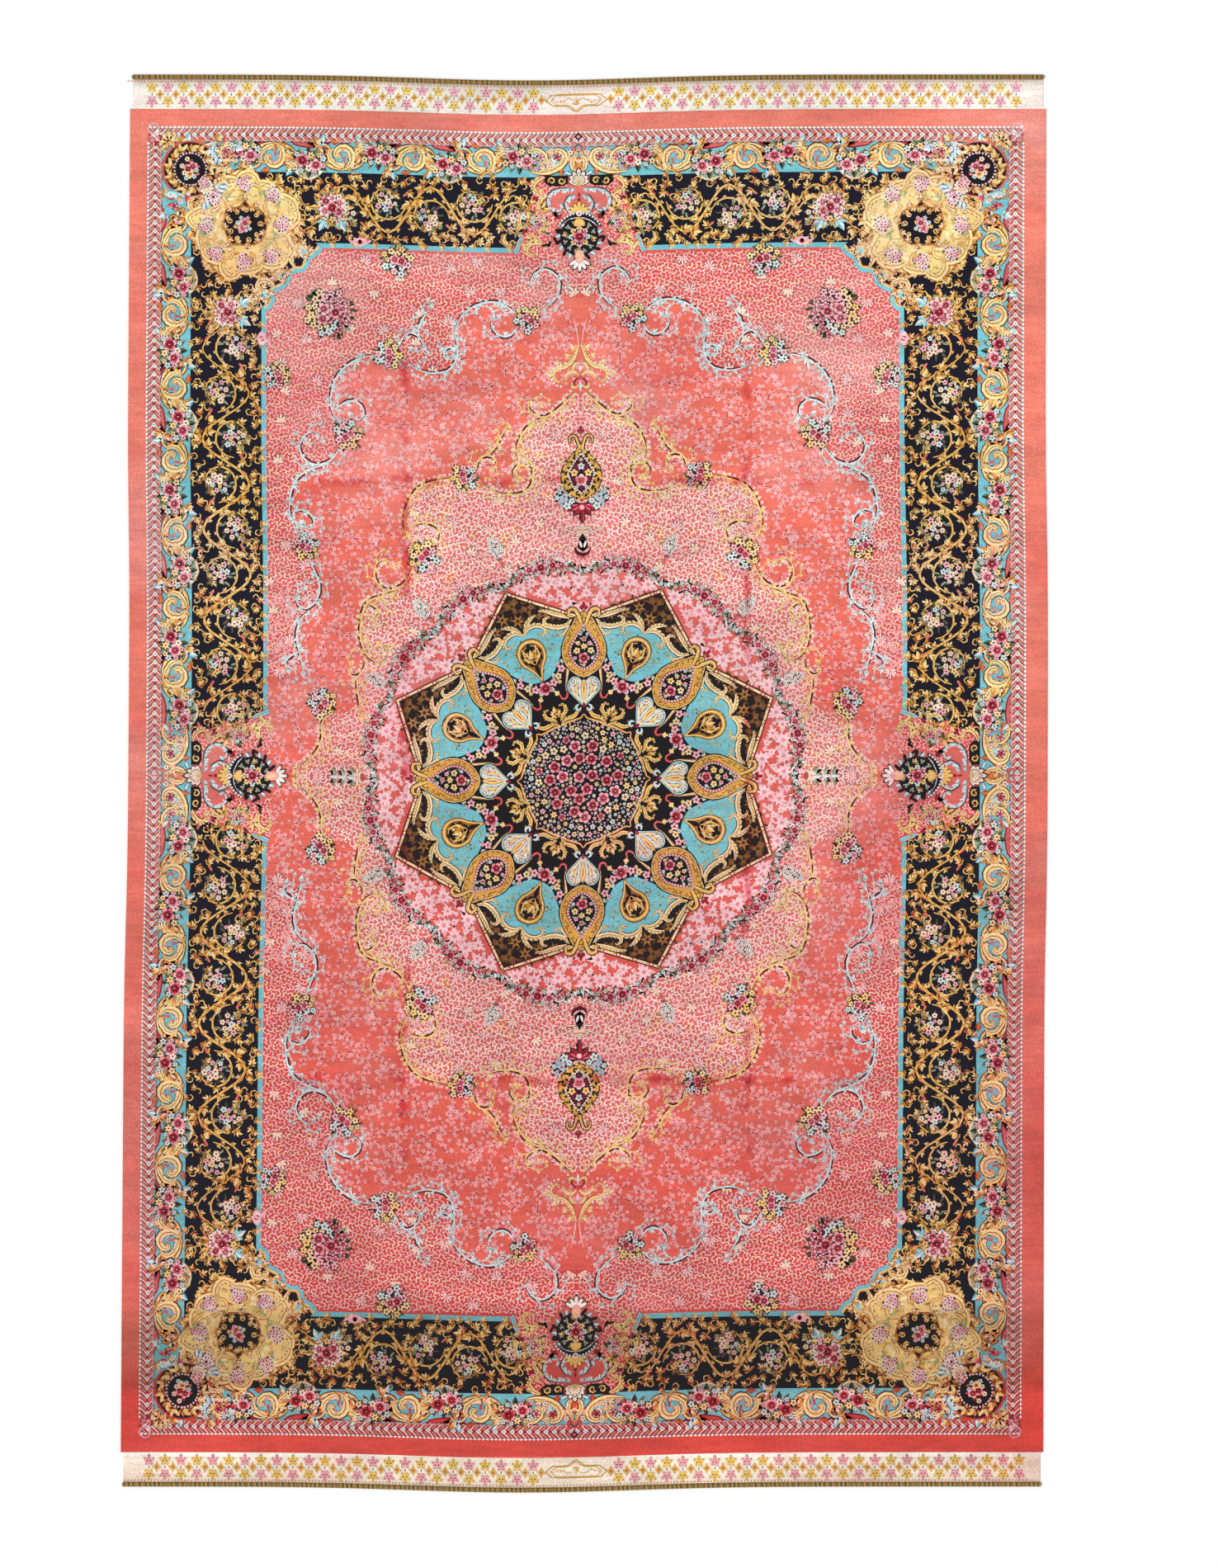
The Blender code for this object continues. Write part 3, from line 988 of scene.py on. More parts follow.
def leafyStem(drawing, path, width, stem, leaf, every, size, level, spread=0.75, shade=None):
    # A stem with leaves on both sides in turn
    if shade is not None:
        ribbon(drawing, path, width * 1.9, shade, shade, level - 0.5, 0.6, 0.4)
    ribbon(drawing, path, width, *stem, level, 0.5, 0.3)
    length, at = walkAlong(path)
    spot, side = every * 0.5, 1
    while spot < length:
        x, y, angle = at(spot)
        grow = size * (0.72 + 0.28 * math.sin(spot * 1.7))
        turn = angle - math.pi / 2 + side * spread
        stampMotif(drawing, leaf, x, y, turn, grow, level + (0.2 if side > 0 else 0.4), side < 0)
        spot += every
        side = -side
    x, y, angle = at(length)
    stampMotif(drawing, leaf, x, y, angle - math.pi / 2, size * 0.9, level + 0.3)


def bouquet(drawing, x, y, radius, count, seed, level, kinds, roseCount, roseSize):
    # A round bunch: leaves behind, blossoms packed like seeds in a sunflower, roses at its heart
    pick = random.Random(seed)
    for k in range(int(count * 1.1)):
        angle = k * 2.4 + pick.random()
        reach = radius * (0.72 + 0.34 * pick.random())
        stampMotif(drawing, "darkLeaf" if k % 3 else "greenLeaf", *polar(x, y, reach * 0.8, angle),
                   angle - math.pi / 2 + pick.uniform(-0.5, 0.5), radius * pick.uniform(0.26, 0.40), level)
    small = radius / math.sqrt(count) * 0.98
    for k in range(count - 1, -1, -1):
        angle = k * 2.39996 + seed
        reach = radius * 0.92 * math.sqrt((k + 0.4) / count)
        size = small * pick.uniform(0.82, 1.05)
        kind = kinds[k % len(kinds)]
        if k < roseCount:
            kind, size = ("roseRed" if k % 2 else "rose"), small * roseSize
        rise = 1.2 if k >= roseCount else 3.0 + 0.8 * k
        stampMotif(drawing, kind, *polar(x, y, reach, angle), pick.uniform(0, 6), size,
                   level + rise + 0.05 * (k % 7))


def patchOf(drawing, outline, paint, level):
    # A filled outline, made as one face and cut into triangles
    shape = bmesh.new()
    shape.faces.new([shape.verts.new((a, b, 0.0)) for a, b in outline])
    xy, tris = readShape(shape)
    addPart(drawing, xy, tris, paint, level)


def pearls(drawing, path, every, radius, rim, heart, level, shift=0.0):
    length, at = walkAlong(path)
    for spot in np.arange(every / 2, length, every):
        x, y, angle = at(spot)
        x, y = x - shift * math.sin(angle), y + shift * math.cos(angle)
        blot(drawing, x, y, radius, radius, 0, rim, rim, level, 7)
        blot(drawing, x, y, radius * 0.42, radius * 0.42, 0, heart, heart, level + 0.6, 4)


# Field
fieldPlan = {
    # where the plain red zone begins and ends, in squares
    "outerLine": [(0, 585), (27, 588), (64, 559), (106, 580), (145, 561), (153, 538), (150, 508), (182, 491),
                  (213, 506), (234, 512), (273, 505), (303, 470), (303, 444), (283, 415), (300, 394), (333, 370),
                  (355, 339), (355, 316), (336, 278), (321, 233), (333, 198), (348, 169), (343, 137), (386, 120)],
    "innerLine": [(0, 470), (22, 454), (48, 436), (64, 428), (77, 397), (59, 376), (61, 357), (90, 345), (121, 360),
                  (142, 365), (179, 360), (210, 334), (216, 313), (200, 279), (195, 268), (212, 243), (237, 222),
                  (268, 202), (271, 161), (264, 137), (277, 116), (273, 88), (300, 70), (317, 63), (323, 32),
                  (347, 10), (352, 0)],
    "seaScrolls": [
        [(58, 598), (60, 606), (52, 617), (40, 620), (28, 612), (24, 600), (28, 586), (40, 574), (54, 566)],
        [(77, 566), (90, 575), (106, 580), (127, 575), (145, 561), (153, 540)],
        [(76, 550), (84, 540), (94, 538), (104, 544), (108, 554), (102, 560)],
        [(152, 540), (149, 526), (150, 512), (154, 502), (163, 494), (182, 491), (200, 496), (214, 507)],
        [(149, 520), (160, 524), (166, 516), (162, 508), (155, 511)],
        [(222, 520), (218, 528), (214, 536), (206, 540), (196, 535), (191, 525), (196, 517), (203, 519)],
        [(197, 536), (196, 548), (190, 560), (183, 570)],
        [(248, 510), (262, 509), (278, 502), (294, 488), (303, 468), (304, 446), (296, 430), (286, 420)],
        [(300, 444), (288, 452), (276, 455), (266, 448), (264, 438), (271, 431), (278, 436)],
        [(292, 402), (298, 390), (308, 380), (323, 376), (337, 383), (343, 398), (336, 412), (324, 416), (316, 408)],
        [(308, 378), (320, 374), (336, 368), (349, 356), (355, 338), (356, 316), (350, 301), (338, 290)],
        [(352, 318), (340, 322), (330, 316), (326, 306), (332, 299), (338, 304)],
        [(332, 262), (326, 246), (321, 232), (322, 218), (330, 206), (340, 202), (348, 208), (350, 219), (342, 225)],
        [(333, 200), (344, 189), (349, 170), (346, 152), (343, 138), (341, 126)],
        [(345, 150), (355, 146), (362, 138), (360, 130)],
    ],
    "goldScrolls": [
        [(6, 470), (18, 458), (34, 444), (48, 440), (60, 446), (64, 456), (57, 463), (50, 457)],
        [(40, 440), (52, 436), (66, 426), (75, 411), (78, 396), (72, 386)],
        [(76, 396), (66, 392), (59, 382), (58, 368), (62, 355), (74, 347), (90, 346), (106, 349), (122, 360)],
        [(60, 376), (70, 382), (80, 378), (82, 370), (75, 366)],
        [(128, 374), (126, 385), (118, 393), (108, 392), (102, 385), (107, 378)],
        [(112, 394), (104, 404), (98, 416), (90, 426)],
        [(156, 364), (178, 360), (198, 351), (210, 334), (216, 313), (213, 292), (202, 279)],
        [(206, 306), (194, 310), (182, 309), (173, 301), (173, 290), (180, 283), (186, 288)],
        [(206, 256), (212, 243), (221, 232), (235, 226), (247, 230), (254, 244), (251, 258), (241, 264), (232, 257)],
        [(226, 226), (244, 219), (259, 214), (268, 201), (271, 182), (270, 162), (263, 147), (251, 140), (241, 145),
         (239, 156), (246, 161)],
        [(262, 210), (252, 206), (248, 198), (254, 192)],
        [(265, 142), (266, 132), (272, 123), (280, 121), (286, 128), (283, 135)],
        [(276, 120), (274, 104), (272, 90), (270, 74)],
        [(314, 76), (318, 62), (317, 47), (322, 33), (332, 21), (348, 8)],
    ],
    "bouquets": [  # u, v, radius, blossoms, seed
        (64, 559, 17, 22, 1), (234, 513, 18, 24, 2), (283, 414, 19, 26, 3), (336, 277, 17, 22, 4),
        (142, 365, 17, 24, 5), (193, 268, 20, 28, 6), (223, 626, 20, 24, 7), (370, 484, 17, 22, 8),
        (317, 88, 19, 26, 9),
    ],
    "baskets": [(106, 281), (197, 205), (252, 117)],
}


def insideLine(line, u, v):
    # True where a point lies between the middle of the rug and the line
    corners = np.array([*line, (line[-1][0], 0), (0, 0)], float)
    hit = np.zeros(len(u), bool)
    j = len(corners) - 1
    for i in range(len(corners)):
        ax, ay = corners[i]
        bx, by = corners[j]
        crossing = ((ay > v) != (by > v)) & (u < (bx - ax) * (v - ay) / ((by - ay) or 1e-9) + ax)
        hit ^= crossing
        j = i
    return hit


def crescent(drawing, path, width, level, side=1, light="scrollLight", mid="scrollMid", dark="scrollDark",
             line="scrollLine", tongue="scrollTongue"):
    # A curling scroll leaf: a tapering body, and pointed tongues that sweep back along its outer side
    length, at = walkAlong(path)
    ribbon(drawing, path, width * 1.38, line, line, level - 0.6, 0.30, 0.22)
    for number, spot in enumerate(np.arange(width * 0.25, length - width * 0.1, width * 0.60)):
        x, y, angle = at(spot)
        share = spot / length
        body = min(1.0, 0.45 + share * 2.4, 0.34 + (1 - share) * 1.5)
        out = side * width * 0.12
        stampMotif(drawing, tongue, x - out * math.sin(angle), y + out * math.cos(angle),
                   angle - math.pi / 2 + side * (0.62, 0.86)[number % 2],
                   width * (1.55, 1.30)[number % 2] * body, level - 0.4 + 0.05 * (number % 4), side < 0)
    ribbon(drawing, path, width * 0.92, mid, mid, level + 0.2, 0.30, 0.22)
    ribbon(drawing, path, width * 0.40, light, light, level + 0.6, 0.30, 0.22, -side * width * 0.16)
    ribbon(drawing, path, width * 0.16, dark, dark, level + 0.8, 0.30, 0.22, side * width * 0.30)


def fieldTracery():
    drawing = newDrawing()
    deep = dye(158, 34, 50)
    outerCurls = [curlOf(dye(252, 190, 184), dye(255, 222, 216), deep),
                  curlOf(dye(250, 178, 178), dye(254, 204, 200), deep),
                  curlOf(dye(252, 204, 186), dye(255, 236, 214), dye(84, 44, 44))]
    innerCurls = [curlOf(dye(255, 214, 208), dye(255, 244, 238), deep),
                  curlOf(dye(252, 196, 194), dye(255, 232, 226), dye(180, 46, 58)),
                  curlOf(dye(255, 218, 206), dye(255, 244, 230), dye(120, 50, 48))]
    flecks = curlOf(dye(250, 224, 150), dye(252, 240, 190), deep)
    fans = [palmetteOf(7, dye(255, 226, 220), dye(250, 180, 178), deep, dye(236, 110, 100), 3.4, 0.15),
            palmetteOf(5, dye(255, 238, 214), dye(252, 196, 184), deep, "yellow", 2.6, 0.2)]
    pick = random.Random(11)
    pitchU, pitchV = 7.9, 7.0
    rows = int(bands["fieldEnd"] / pitchV) + 1
    spots = []
    for row in range(rows):
        for column in range(int(bands["fieldSide"] / pitchU) + 1):
            u = (column + (0.25 if row % 2 else 0.75)) * pitchU
            v = (row + 0.5) * pitchV
            spots.append((u, v, row, column))
    places = np.array([(u, v) for u, v, _, _ in spots])
    outer = ~insideLine(fieldPlan["outerLine"], places[:, 0], places[:, 1])
    inner = insideLine(fieldPlan["innerLine"], places[:, 0], places[:, 1])
    far = np.hypot(places[:, 0], places[:, 1])
    keep = (outer | (inner & (far > 258)))
    keep &= (places[:, 0] < bands["fieldSide"] - 2) & (places[:, 1] < bands["fieldEnd"] - 2)
    keep &= places[:, 0] + places[:, 1] < 962
    fanPlaces = []
    for (u, v, row, column), wanted, isInner in zip(spots, keep, inner):
        if not wanted:
            continue
        turn = (row * 1.9 + column * 2.3) % 6.28 + pick.uniform(-0.25, 0.25)
        kind = (innerCurls if isInner else outerCurls)[(row * 5 + column * 3) % 3]
        if isInner and pick.random() < 0.03 + 0.16 * (math.sin(u * 0.05) * math.sin(v * 0.06) > 0.35):
            kind = flecks
        if pick.random() < 0.12 and all((u - a) ** 2 + (v - b) ** 2 > 34 ** 2 for a, b in fanPlaces):
            fanPlaces.append((u, v))
            stampMotif(drawing, fans[len(fanPlaces) % 2], u, v - 3, pick.choice((0.0, 0.0, 0.5, -0.5, 3.14)), 11.0, 1.4)
        stampMotif(drawing, kind, u + pick.uniform(-0.6, 0.6), v + pick.uniform(-0.6, 0.6), turn,
                   5.7 if isInner else 5.0, (row * 3 + column * 5) % 7 * 0.13, column % 2 == 0)
    return overToAllQuarters(collect(drawing))


layInlay("fieldTracery", fieldTracery())


def zoneGround():
    # The plain red zone between the two lines of scrolls, and the paler one inside them
    drawing = newDrawing()
    outer = fieldPlan["outerLine"]
    inner = fieldPlan["innerLine"]
    patchOf(drawing, [*outer, (383, 110), (383, 0), *reversed(inner)], "plainRed", 0.0)
    patchOf(drawing, [(0, 240), *inner, (240, 0), (170, 170)], dye(234, 118, 110), 0.0)
    return overToAllQuarters(collect(drawing))


layInlay("plainZone", zoneGround(), -0.8)


def blossomBranches():
    # Pale pink flowering branches over the plain zone
    drawing = newDrawing()
    pick = random.Random(5)
    pitch = 20.5
    spots = []
    for row in range(int(600 / pitch) + 1):
        for column in range(int(384 / pitch) + 1):
            u = (column + 0.5 + (0.25 if row % 2 else -0.2)) * pitch + pick.uniform(-5, 5)
            v = (row + 0.5) * pitch + pick.uniform(-5, 5)
            spots.append((max(3.0, u), v))
    places = np.array(spots)
    keep = insideLine(fieldPlan["outerLine"], places[:, 0], places[:, 1] + 4) | (places[:, 1] < 225)
    keep &= ~insideLine(fieldPlan["innerLine"], places[:, 0], places[:, 1] - 4)
    keep &= places[:, 0] < 380
    petals = (dye(250, 186, 182), dye(248, 172, 168), dye(252, 200, 190))
    for number, (u, v) in enumerate(places[keep]):
        angle = pick.uniform(0, 6.28)
        bend = pick.choice((-1, 1))
        path = smoothPath([(u - 16 * math.cos(angle), v - 16 * math.sin(angle)),
                           (u + bend * 4 * math.sin(angle), v - bend * 4 * math.cos(angle)),
                           polar(u, v, 14, angle + bend * 0.5)], 3.5)
        ribbon(drawing, path, 1.3, dye(176, 50, 56), dye(176, 50, 56), -0.2, 0.5, 0.4, 1.2)
        leafyStem(drawing, path, 1.1, (petals[0], petals[1]), "softTrefoil", 5.1, 6.2, 0.0, 0.9)
        many = (7, 4, 6, 3)[number % 4]
        for k in range(many):
            turn = k * 2.4 + angle
            reach = 9.5 * math.sqrt((k + 0.3) / many)
            x, y = polar(u, v, reach, turn)
            if k % 2:
                stampMotif(drawing, "softTrefoil", x, y, turn, pick.uniform(5.5, 7.5), 0.6)
            else:
                stampMotif(drawing, "softBlossom" if (k + number) % 4 else "paleSoft", x, y, turn,
                           pick.uniform(2.0, 3.2), 1.0 + 0.2 * k)
    return overToAllQuarters(collect(drawing))


layInlay("blossomBranches", blossomBranches(), 0.4)


def scrollLine(drawing, path, width, light, mid, leaf, every, size, level, side=1):
    # A scroll of the field: a dark line on one side, the stem, leaves, and fine leafy twigs
    ribbon(drawing, path, width * 1.15, dye(70, 10, 20), dye(104, 18, 28), level + 0.7, 0.3, 0.2, side * width * 0.95)
    length, at = walkAlong(path)
    for number, spot in enumerate(np.arange(every * 0.4, length, every)):
        turn = 1 if number % 2 else -1
        x, y, angle = at(spot)
        grow = size * (0.8 + 0.3 * math.sin(spot * 0.9))
        stampMotif(drawing, leaf, x, y, angle - math.pi / 2 + turn * 0.85, grow, level + 0.2)
        if number % 2 == 0:
            lean = angle + turn * 0.9
            twig = smoothPath([(x, y), polar(x, y, 8, lean), polar(x, y, 15, lean - turn * 0.35),
                               polar(x, y, 19, lean - turn * 0.75)], 2.6)
            leafyStem(drawing, twig, 1.0, (light, mid), leaf, 5.6, size * 0.66, level, 0.9)
    ribbon(drawing, path, width, light, mid, level + 0.9, 0.5, 0.3)
    x, y, angle = at(length)
    stampMotif(drawing, leaf, x, y, angle - math.pi / 2, size, level + 0.5)


def arabesques():
    drawing = newDrawing()
    for number, points in enumerate(fieldPlan["seaScrolls"]):
        path = smoothPath(points, 2.6)
        scrollLine(drawing, path, 2.1, "white", "turquoisePale", "seaFrond", 11.5, 8.0, 1.0, 1 if number % 2 else -1)
    for points in fieldPlan["goldScrolls"]:
        path = smoothPath(points, 2.6)
        scrollLine(drawing, path, 2.1, "yellowPale", dye(244, 204, 112), "paleFrond", 10.5, 7.5, 1.0, 1)
        pearls(drawing, path, 6.2, 1.7, dye(255, 236, 226), "rose", 2.6, 5.4)
    return drawing


def bouquetsOf(drawing):
    for u, v, radius, count, seed in fieldPlan["bouquets"]:
        blot(drawing, u, v, radius * 0.82, radius * 0.82, seed, "black", dye(60, 40, 40), 2.6, 16,
             lambda xy: lobeForm(xy, 8, 0.12))
        kinds = ("cream", "pinkSmall", "white", "yellow", "blue", "yellowStar", "cream", "rosePink")
        bouquet(drawing, u, v, radius, round(count * 0.62), seed, 3.0, kinds, 2, 1.3)
    kinds = ("rose", "cream", "pinkSmall", "roseRed", "yellow", "rose", "white", "cream")
    blot(drawing, 307, 561, 26, 26, 0.2, "black", dye(70, 44, 44), 2.6, 20, lambda xy: lobeForm(xy, 9, 0.10))
    bouquet(drawing, 307, 561, 31, 36, 21, 3.0, kinds, 5, 1.6)
    pick = random.Random(12)
    for u, v in fieldPlan["baskets"]:
        out = math.atan2(v, u)
        for row in range(6):
            wide = (1.5, 2.5, 3.0, 2.4, 1.8, 0.8)[row]
            for k in range(round(wide) + 1):
                reach = (row - 2.2) * 4.4 + pick.uniform(-0.7, 0.7)
                sideways = (k / max(1, round(wide)) - 0.5) * wide * 4.4 + pick.uniform(-0.9, 0.9)
                x = u + reach * math.cos(out) - sideways * math.sin(out)
                y = v + reach * math.sin(out) + sideways * math.cos(out)
                stampMotif(drawing, "greenLeaf" if k % 2 else "darkLeaf", x, y, out + k * 2, 6.0, 3.0)
                stampMotif(drawing, "basketFlower", x, y, k + row, 2.5, 4.0)
        stampMotif(drawing, "roseRed", u - 14 * math.cos(out), v - 14 * math.sin(out), 0, 3.0, 4.0)
        stampMotif(drawing, "redLeaf", u - 15 * math.cos(out), v - 15 * math.sin(out), out + math.pi / 2, 10, 3.6)


flowers = arabesques()
bouquetsOf(flowers)
layInlay("fieldScrolls", overToAllQuarters(collect(flowers)), 2.0)
print("field done")


# Medallion
eighth = math.pi / 8


def acanthus(drawing, path, width, level, every=5.0, size=9.0, side=1, light="goldLight", mid="gold", dark="goldDark",
             leaf="goldFrond", line="darkRed"):
    # A thick curling leaf: a dark line under it, a light and a shaded half, and lobes along one side
    ribbon(drawing, path, width * 1.7, line, line, level - 0.6, 0.5, 0.3)
    length, at = walkAlong(path)
    for number, spot in enumerate(np.arange(every * 0.4, length, every)):
        x, y, angle = at(spot)
        grow = size * (1.0 - 0.45 * spot / length) * (0.78, 1.12, 0.94)[number % 3]
        turn = angle - math.pi / 2 + side * (1.15, 0.75)[number % 2]
        stampMotif(drawing, leaf, x, y, turn, grow, level - 0.2 + 0.12 * (number % 3))
    ribbon(drawing, path, width, *((light, mid) if side < 0 else (mid, light)), level + 0.9, 0.6, 0.25)
    ribbon(drawing, path, width * 0.34, dark, dark, level + 1.3, 0.4, 0.3, -side * width * 0.30)


def shieldSector():
    # One kite and its turquoise shield, its axis along +v
    d = newDrawing()
    valley = (math.sin(eighth) * 196, math.cos(eighth) * 196)
    patchOf(d, [(0, 245), (-valley[0], valley[1]), (-0.383 * 60, 0.924 * 60), (0.383 * 60, 0.924 * 60), valley],
            "black", -3.0)
    patchOf(d, [(0, 243), (-valley[0] + 3, valley[1]), (-40, 176), (0, 186), (40, 176), (valley[0] - 3, valley[1])],
            dye(30, 17, 20), -2.4)
    pick = random.Random(3)
    for k in range(46):
        v = pick.uniform(194, 238)
        u = pick.uniform(-1, 1) * (244 - v) * 1.5
        stampMotif(d, "oliveLeaf", u, v, pick.uniform(0, 6), pick.uniform(6, 9), -2.1 + 0.01 * k)
    for u, v, size in ((0, 228, 10), (-17, 217, 9), (17, 217, 9), (0, 209, 10), (-31, 206, 9), (31, 206, 9),
                       (-46, 197, 7), (46, 197, 7)):
        stampMotif(d, "goldStar" if (int(u) + int(v)) % 3 else "brownStar", u, v, u + v, size, -1.4)
    edge = [(64, 184), (53, 182), (40, 187), (26, 195), (10, 196), (0, 190)]
    lower = [(0, 129), (14, 132), (29, 146), (44, 165), (56, 182)]
    outline = smoothPath([*edge], 3).tolist() + smoothPath([(0, 190), (-10, 196), (-26, 195), (-40, 187), (-53, 182),
                                                            (-64, 184)], 3).tolist()[1:]
    outline += smoothPath([(-u, v) for u, v in reversed(lower)], 3).tolist() + smoothPath(lower, 3).tolist()[1:]
    patchOf(d, outline, "turquoise", 0.0)
    for k in range(420):  # fine gold-green specks woven into the turquoise
        u, v = pick.uniform(-50, 50), pick.uniform(134, 186)
        if abs(u) < 4 + (v - 130) * 0.86:
            stampMotif(d, "speckle" if k % 3 else "speckleDark", u, v, math.pi / 2 + pick.uniform(-0.7, 0.7),
                       pick.uniform(2.6, 4.6), 0.5)
    for side in (1, -1):
        low = mirrored(side, lower, 3)
        ribbon(d, low, 2.0, "black", "black", 0.8, 1, 1)
        for points, wide, way in (([(60, 182), (52, 177), (42, 178), (33, 183), (27, 189), (30, 196), (37, 195)], 5.0,
                                   -1),
                                  ([(0, 185), (7, 191), (15, 192), (22, 189), (26, 183), (22, 178), (17, 181)], 4.6, 1),
                                  ([(58, 184), (50, 190), (41, 197), (33, 204), (27, 206)], 4.2, -1),
                                  ([(2, 189), (8, 196), (15, 201), (22, 203)], 4.2, 1),
                                  ([(55, 178), (48, 171), (41, 170), (39, 175)], 3.4, 1)):
            crescent(d, smoothPath([(side * u * 1.02, v + 4) for u, v in points], 2), wide * 0.86, 1.6, way * side,
                     "cream", "scrollMid", "goldDark", "black", "shieldTongue")
        # flowers under the shield
        for u, v, size, kind in ((12, 124, 5.0, "pinkSmall"), (20, 129, 4.4, "cream"), (27, 136, 4.8, "pinkSmall"),
                                 (32.5, 144, 3.6, "white"), (37, 151, 3.0, "cream"), (7, 117, 3.2, "white"), (15, 132,
                                         2.8, "white"),
                                 (24, 142, 2.8, "pinkSmall"), (19, 122, 3.0, "yellowStar")):
            stampMotif(d, "greenLeaf", side * u, v, u, 7, 1.6)
            stampMotif(d, kind, side * u, v, u, size, 2.2)
        bar = mirrored(side, [(42, 156), (36, 138), (29, 124), (24, 115), (22, 108)], 2.5)
        acanthus(d, bar, 3.4, 2.0, 60, 5, side, "cream", "goldLight", line="black")
        # coral hook with its yellow tulip
        hook = mirrored(side, [(23, 107), (19, 101), (14, 102), (13, 108)], 1.4)
        ribbon(d, hook, 3.6, "darkRed", "darkRed", 2.6, 0.8, 0.7)
        ribbon(d, hook, 2.4, "coral", "red", 3.0, 0.8, 0.7)
        stampMotif(d, "tulip", side * 12, 108, side * 0.5, 7, 3.4)
    stampMotif(d, "roseRed", 0, 121, 0.4, 8.6, 3.0)
    # dark leaf badge with its gold rim
    blot(d, 0, 164, 18, 19, 0, "gold", "goldDark", 1.2, 18)
    blot(d, 0, 148, 5.4, 15, 0, "gold", "goldDark", 1.2, 10, leafForm)
    loop = [(0, 181.5), (7, 180), (13.5, 174), (15.6, 165), (13.5, 156), (8, 149), (3.4, 141), (0, 133)]
    loop = closedShape(loop, 2.2)
    for grow, paint, level in ((1.16, "brown", 1.5), (1.10, "gold", 1.7), (1.02, "goldLight", 1.9),
                               (0.93, "goldDark", 2.0)):
        patchOf(d, ((loop - (0, 160)) * grow + (0, 160)).tolist(), paint, level)
    blot(d, 0, 164.5, 13.6, 15.0, 0, "black", "black", 2.2, 26, lambda xy: lobeForm(xy, 9, 0.07))
    blot(d, 0, 146, 3.0, 12, 0, "black", "black", 2.2, 8, leafForm)
    for side in (1, -1):
        flame = mirrored(side, [(0.5, 152), (5, 158), (9, 165), (8, 173), (2.5, 176)], 1.8)
        ribbon(d, flame, 1.8, "goldLight", "gold", 2.8, 0.4, 0.4)
        stampMotif(d, "goldLeaf", side * 6, 160, -side * 1.0, 6.5, 2.7)
        stampMotif(d, "goldLeaf", side * 7, 169, -side * 0.3, 6.5, 2.7)
    stampMotif(d, "goldFrond", 0, 156, 0, 15, 3.0)
    for side in (1, -1):
        stampMotif(d, "goldFrond", side * 3, 158, -side * 1.2, 7, 3.1)
        stampMotif(d, "goldFrond", side * 3, 165, -side * 0.8, 7, 3.1)
    # gold leafwork between the palmettes
    for side in (1, -1):
        arc = mirrored(side, [(0.5, 71.5), (8, 73), (18, 72), (26, 71.5), (30.5, 74.5)], 2)
        ribbon(d, arc, 4.2, "black", "darkRed", 1.0, 0.8, 0.5)
        ribbon(d, arc, 2.4, "goldLight", "orange", 1.5, 0.8, 0.5)
        for points, wide, way in (([(2, 74), (9, 77), (17, 76), (24, 78), (27, 84), (22, 86)], 3.4, 1),
                                  ([(2, 78), (7, 84), (12, 88), (12, 95), (7, 95)], 3.2, -1)):
            crescent(d, mirrored(side, points, 1.8), wide, 2.2, way * side, "goldLight", "gold", "goldDark", "black",
                     "goldTongue")
        shoe = mirrored(side, [(1, 74), (4.5, 72), (4, 67.5)], 1.4)
        ribbon(d, shoe, 2.0, "goldLight", "gold", 2.4, 0.8, 0.6)
        blot(d, side * 28.5, 80, 2.0, 2.0, 0, "red", "darkRed", 2.0, 7)
    for angle, size in ((0.0, 13), (0.8, 9), (-0.8, 9)):
        stampMotif(d, "goldFrond", 0, 84, angle, size, 2.6)
    # cream bars wound with a dark red ribbon
    for side in (1, -1):
        bar = smoothPath([(side * -0.5, 245), (side * valley[0] * 0.92, 245 - (245 - valley[1]) * 0.92)], 3.5)
        ribbon(d, bar, 6.0, "darkRed", "black", 1.0, 0.9, 0.9)
        ribbon(d, bar, 2.8, "cream", "goldLight", 1.6, 0.9, 0.9)
        angles = along(bar)
        for k in range(3, len(bar) - 1, 6):
            x, y = bar[k]
            wind = smoothPath([(x - 5, y - 3), (x - 1, y + 3.0), (x + 3, y - 2), (x + 6, y + 3)], 2)
            ribbon(d, turnedBy(wind - (x, y), angles[k] if side > 0 else angles[k] + math.pi) + (x, y), 1.5,
                   "red", "darkRed", 2.4, 0.5, 0.4)
    return collect(d)


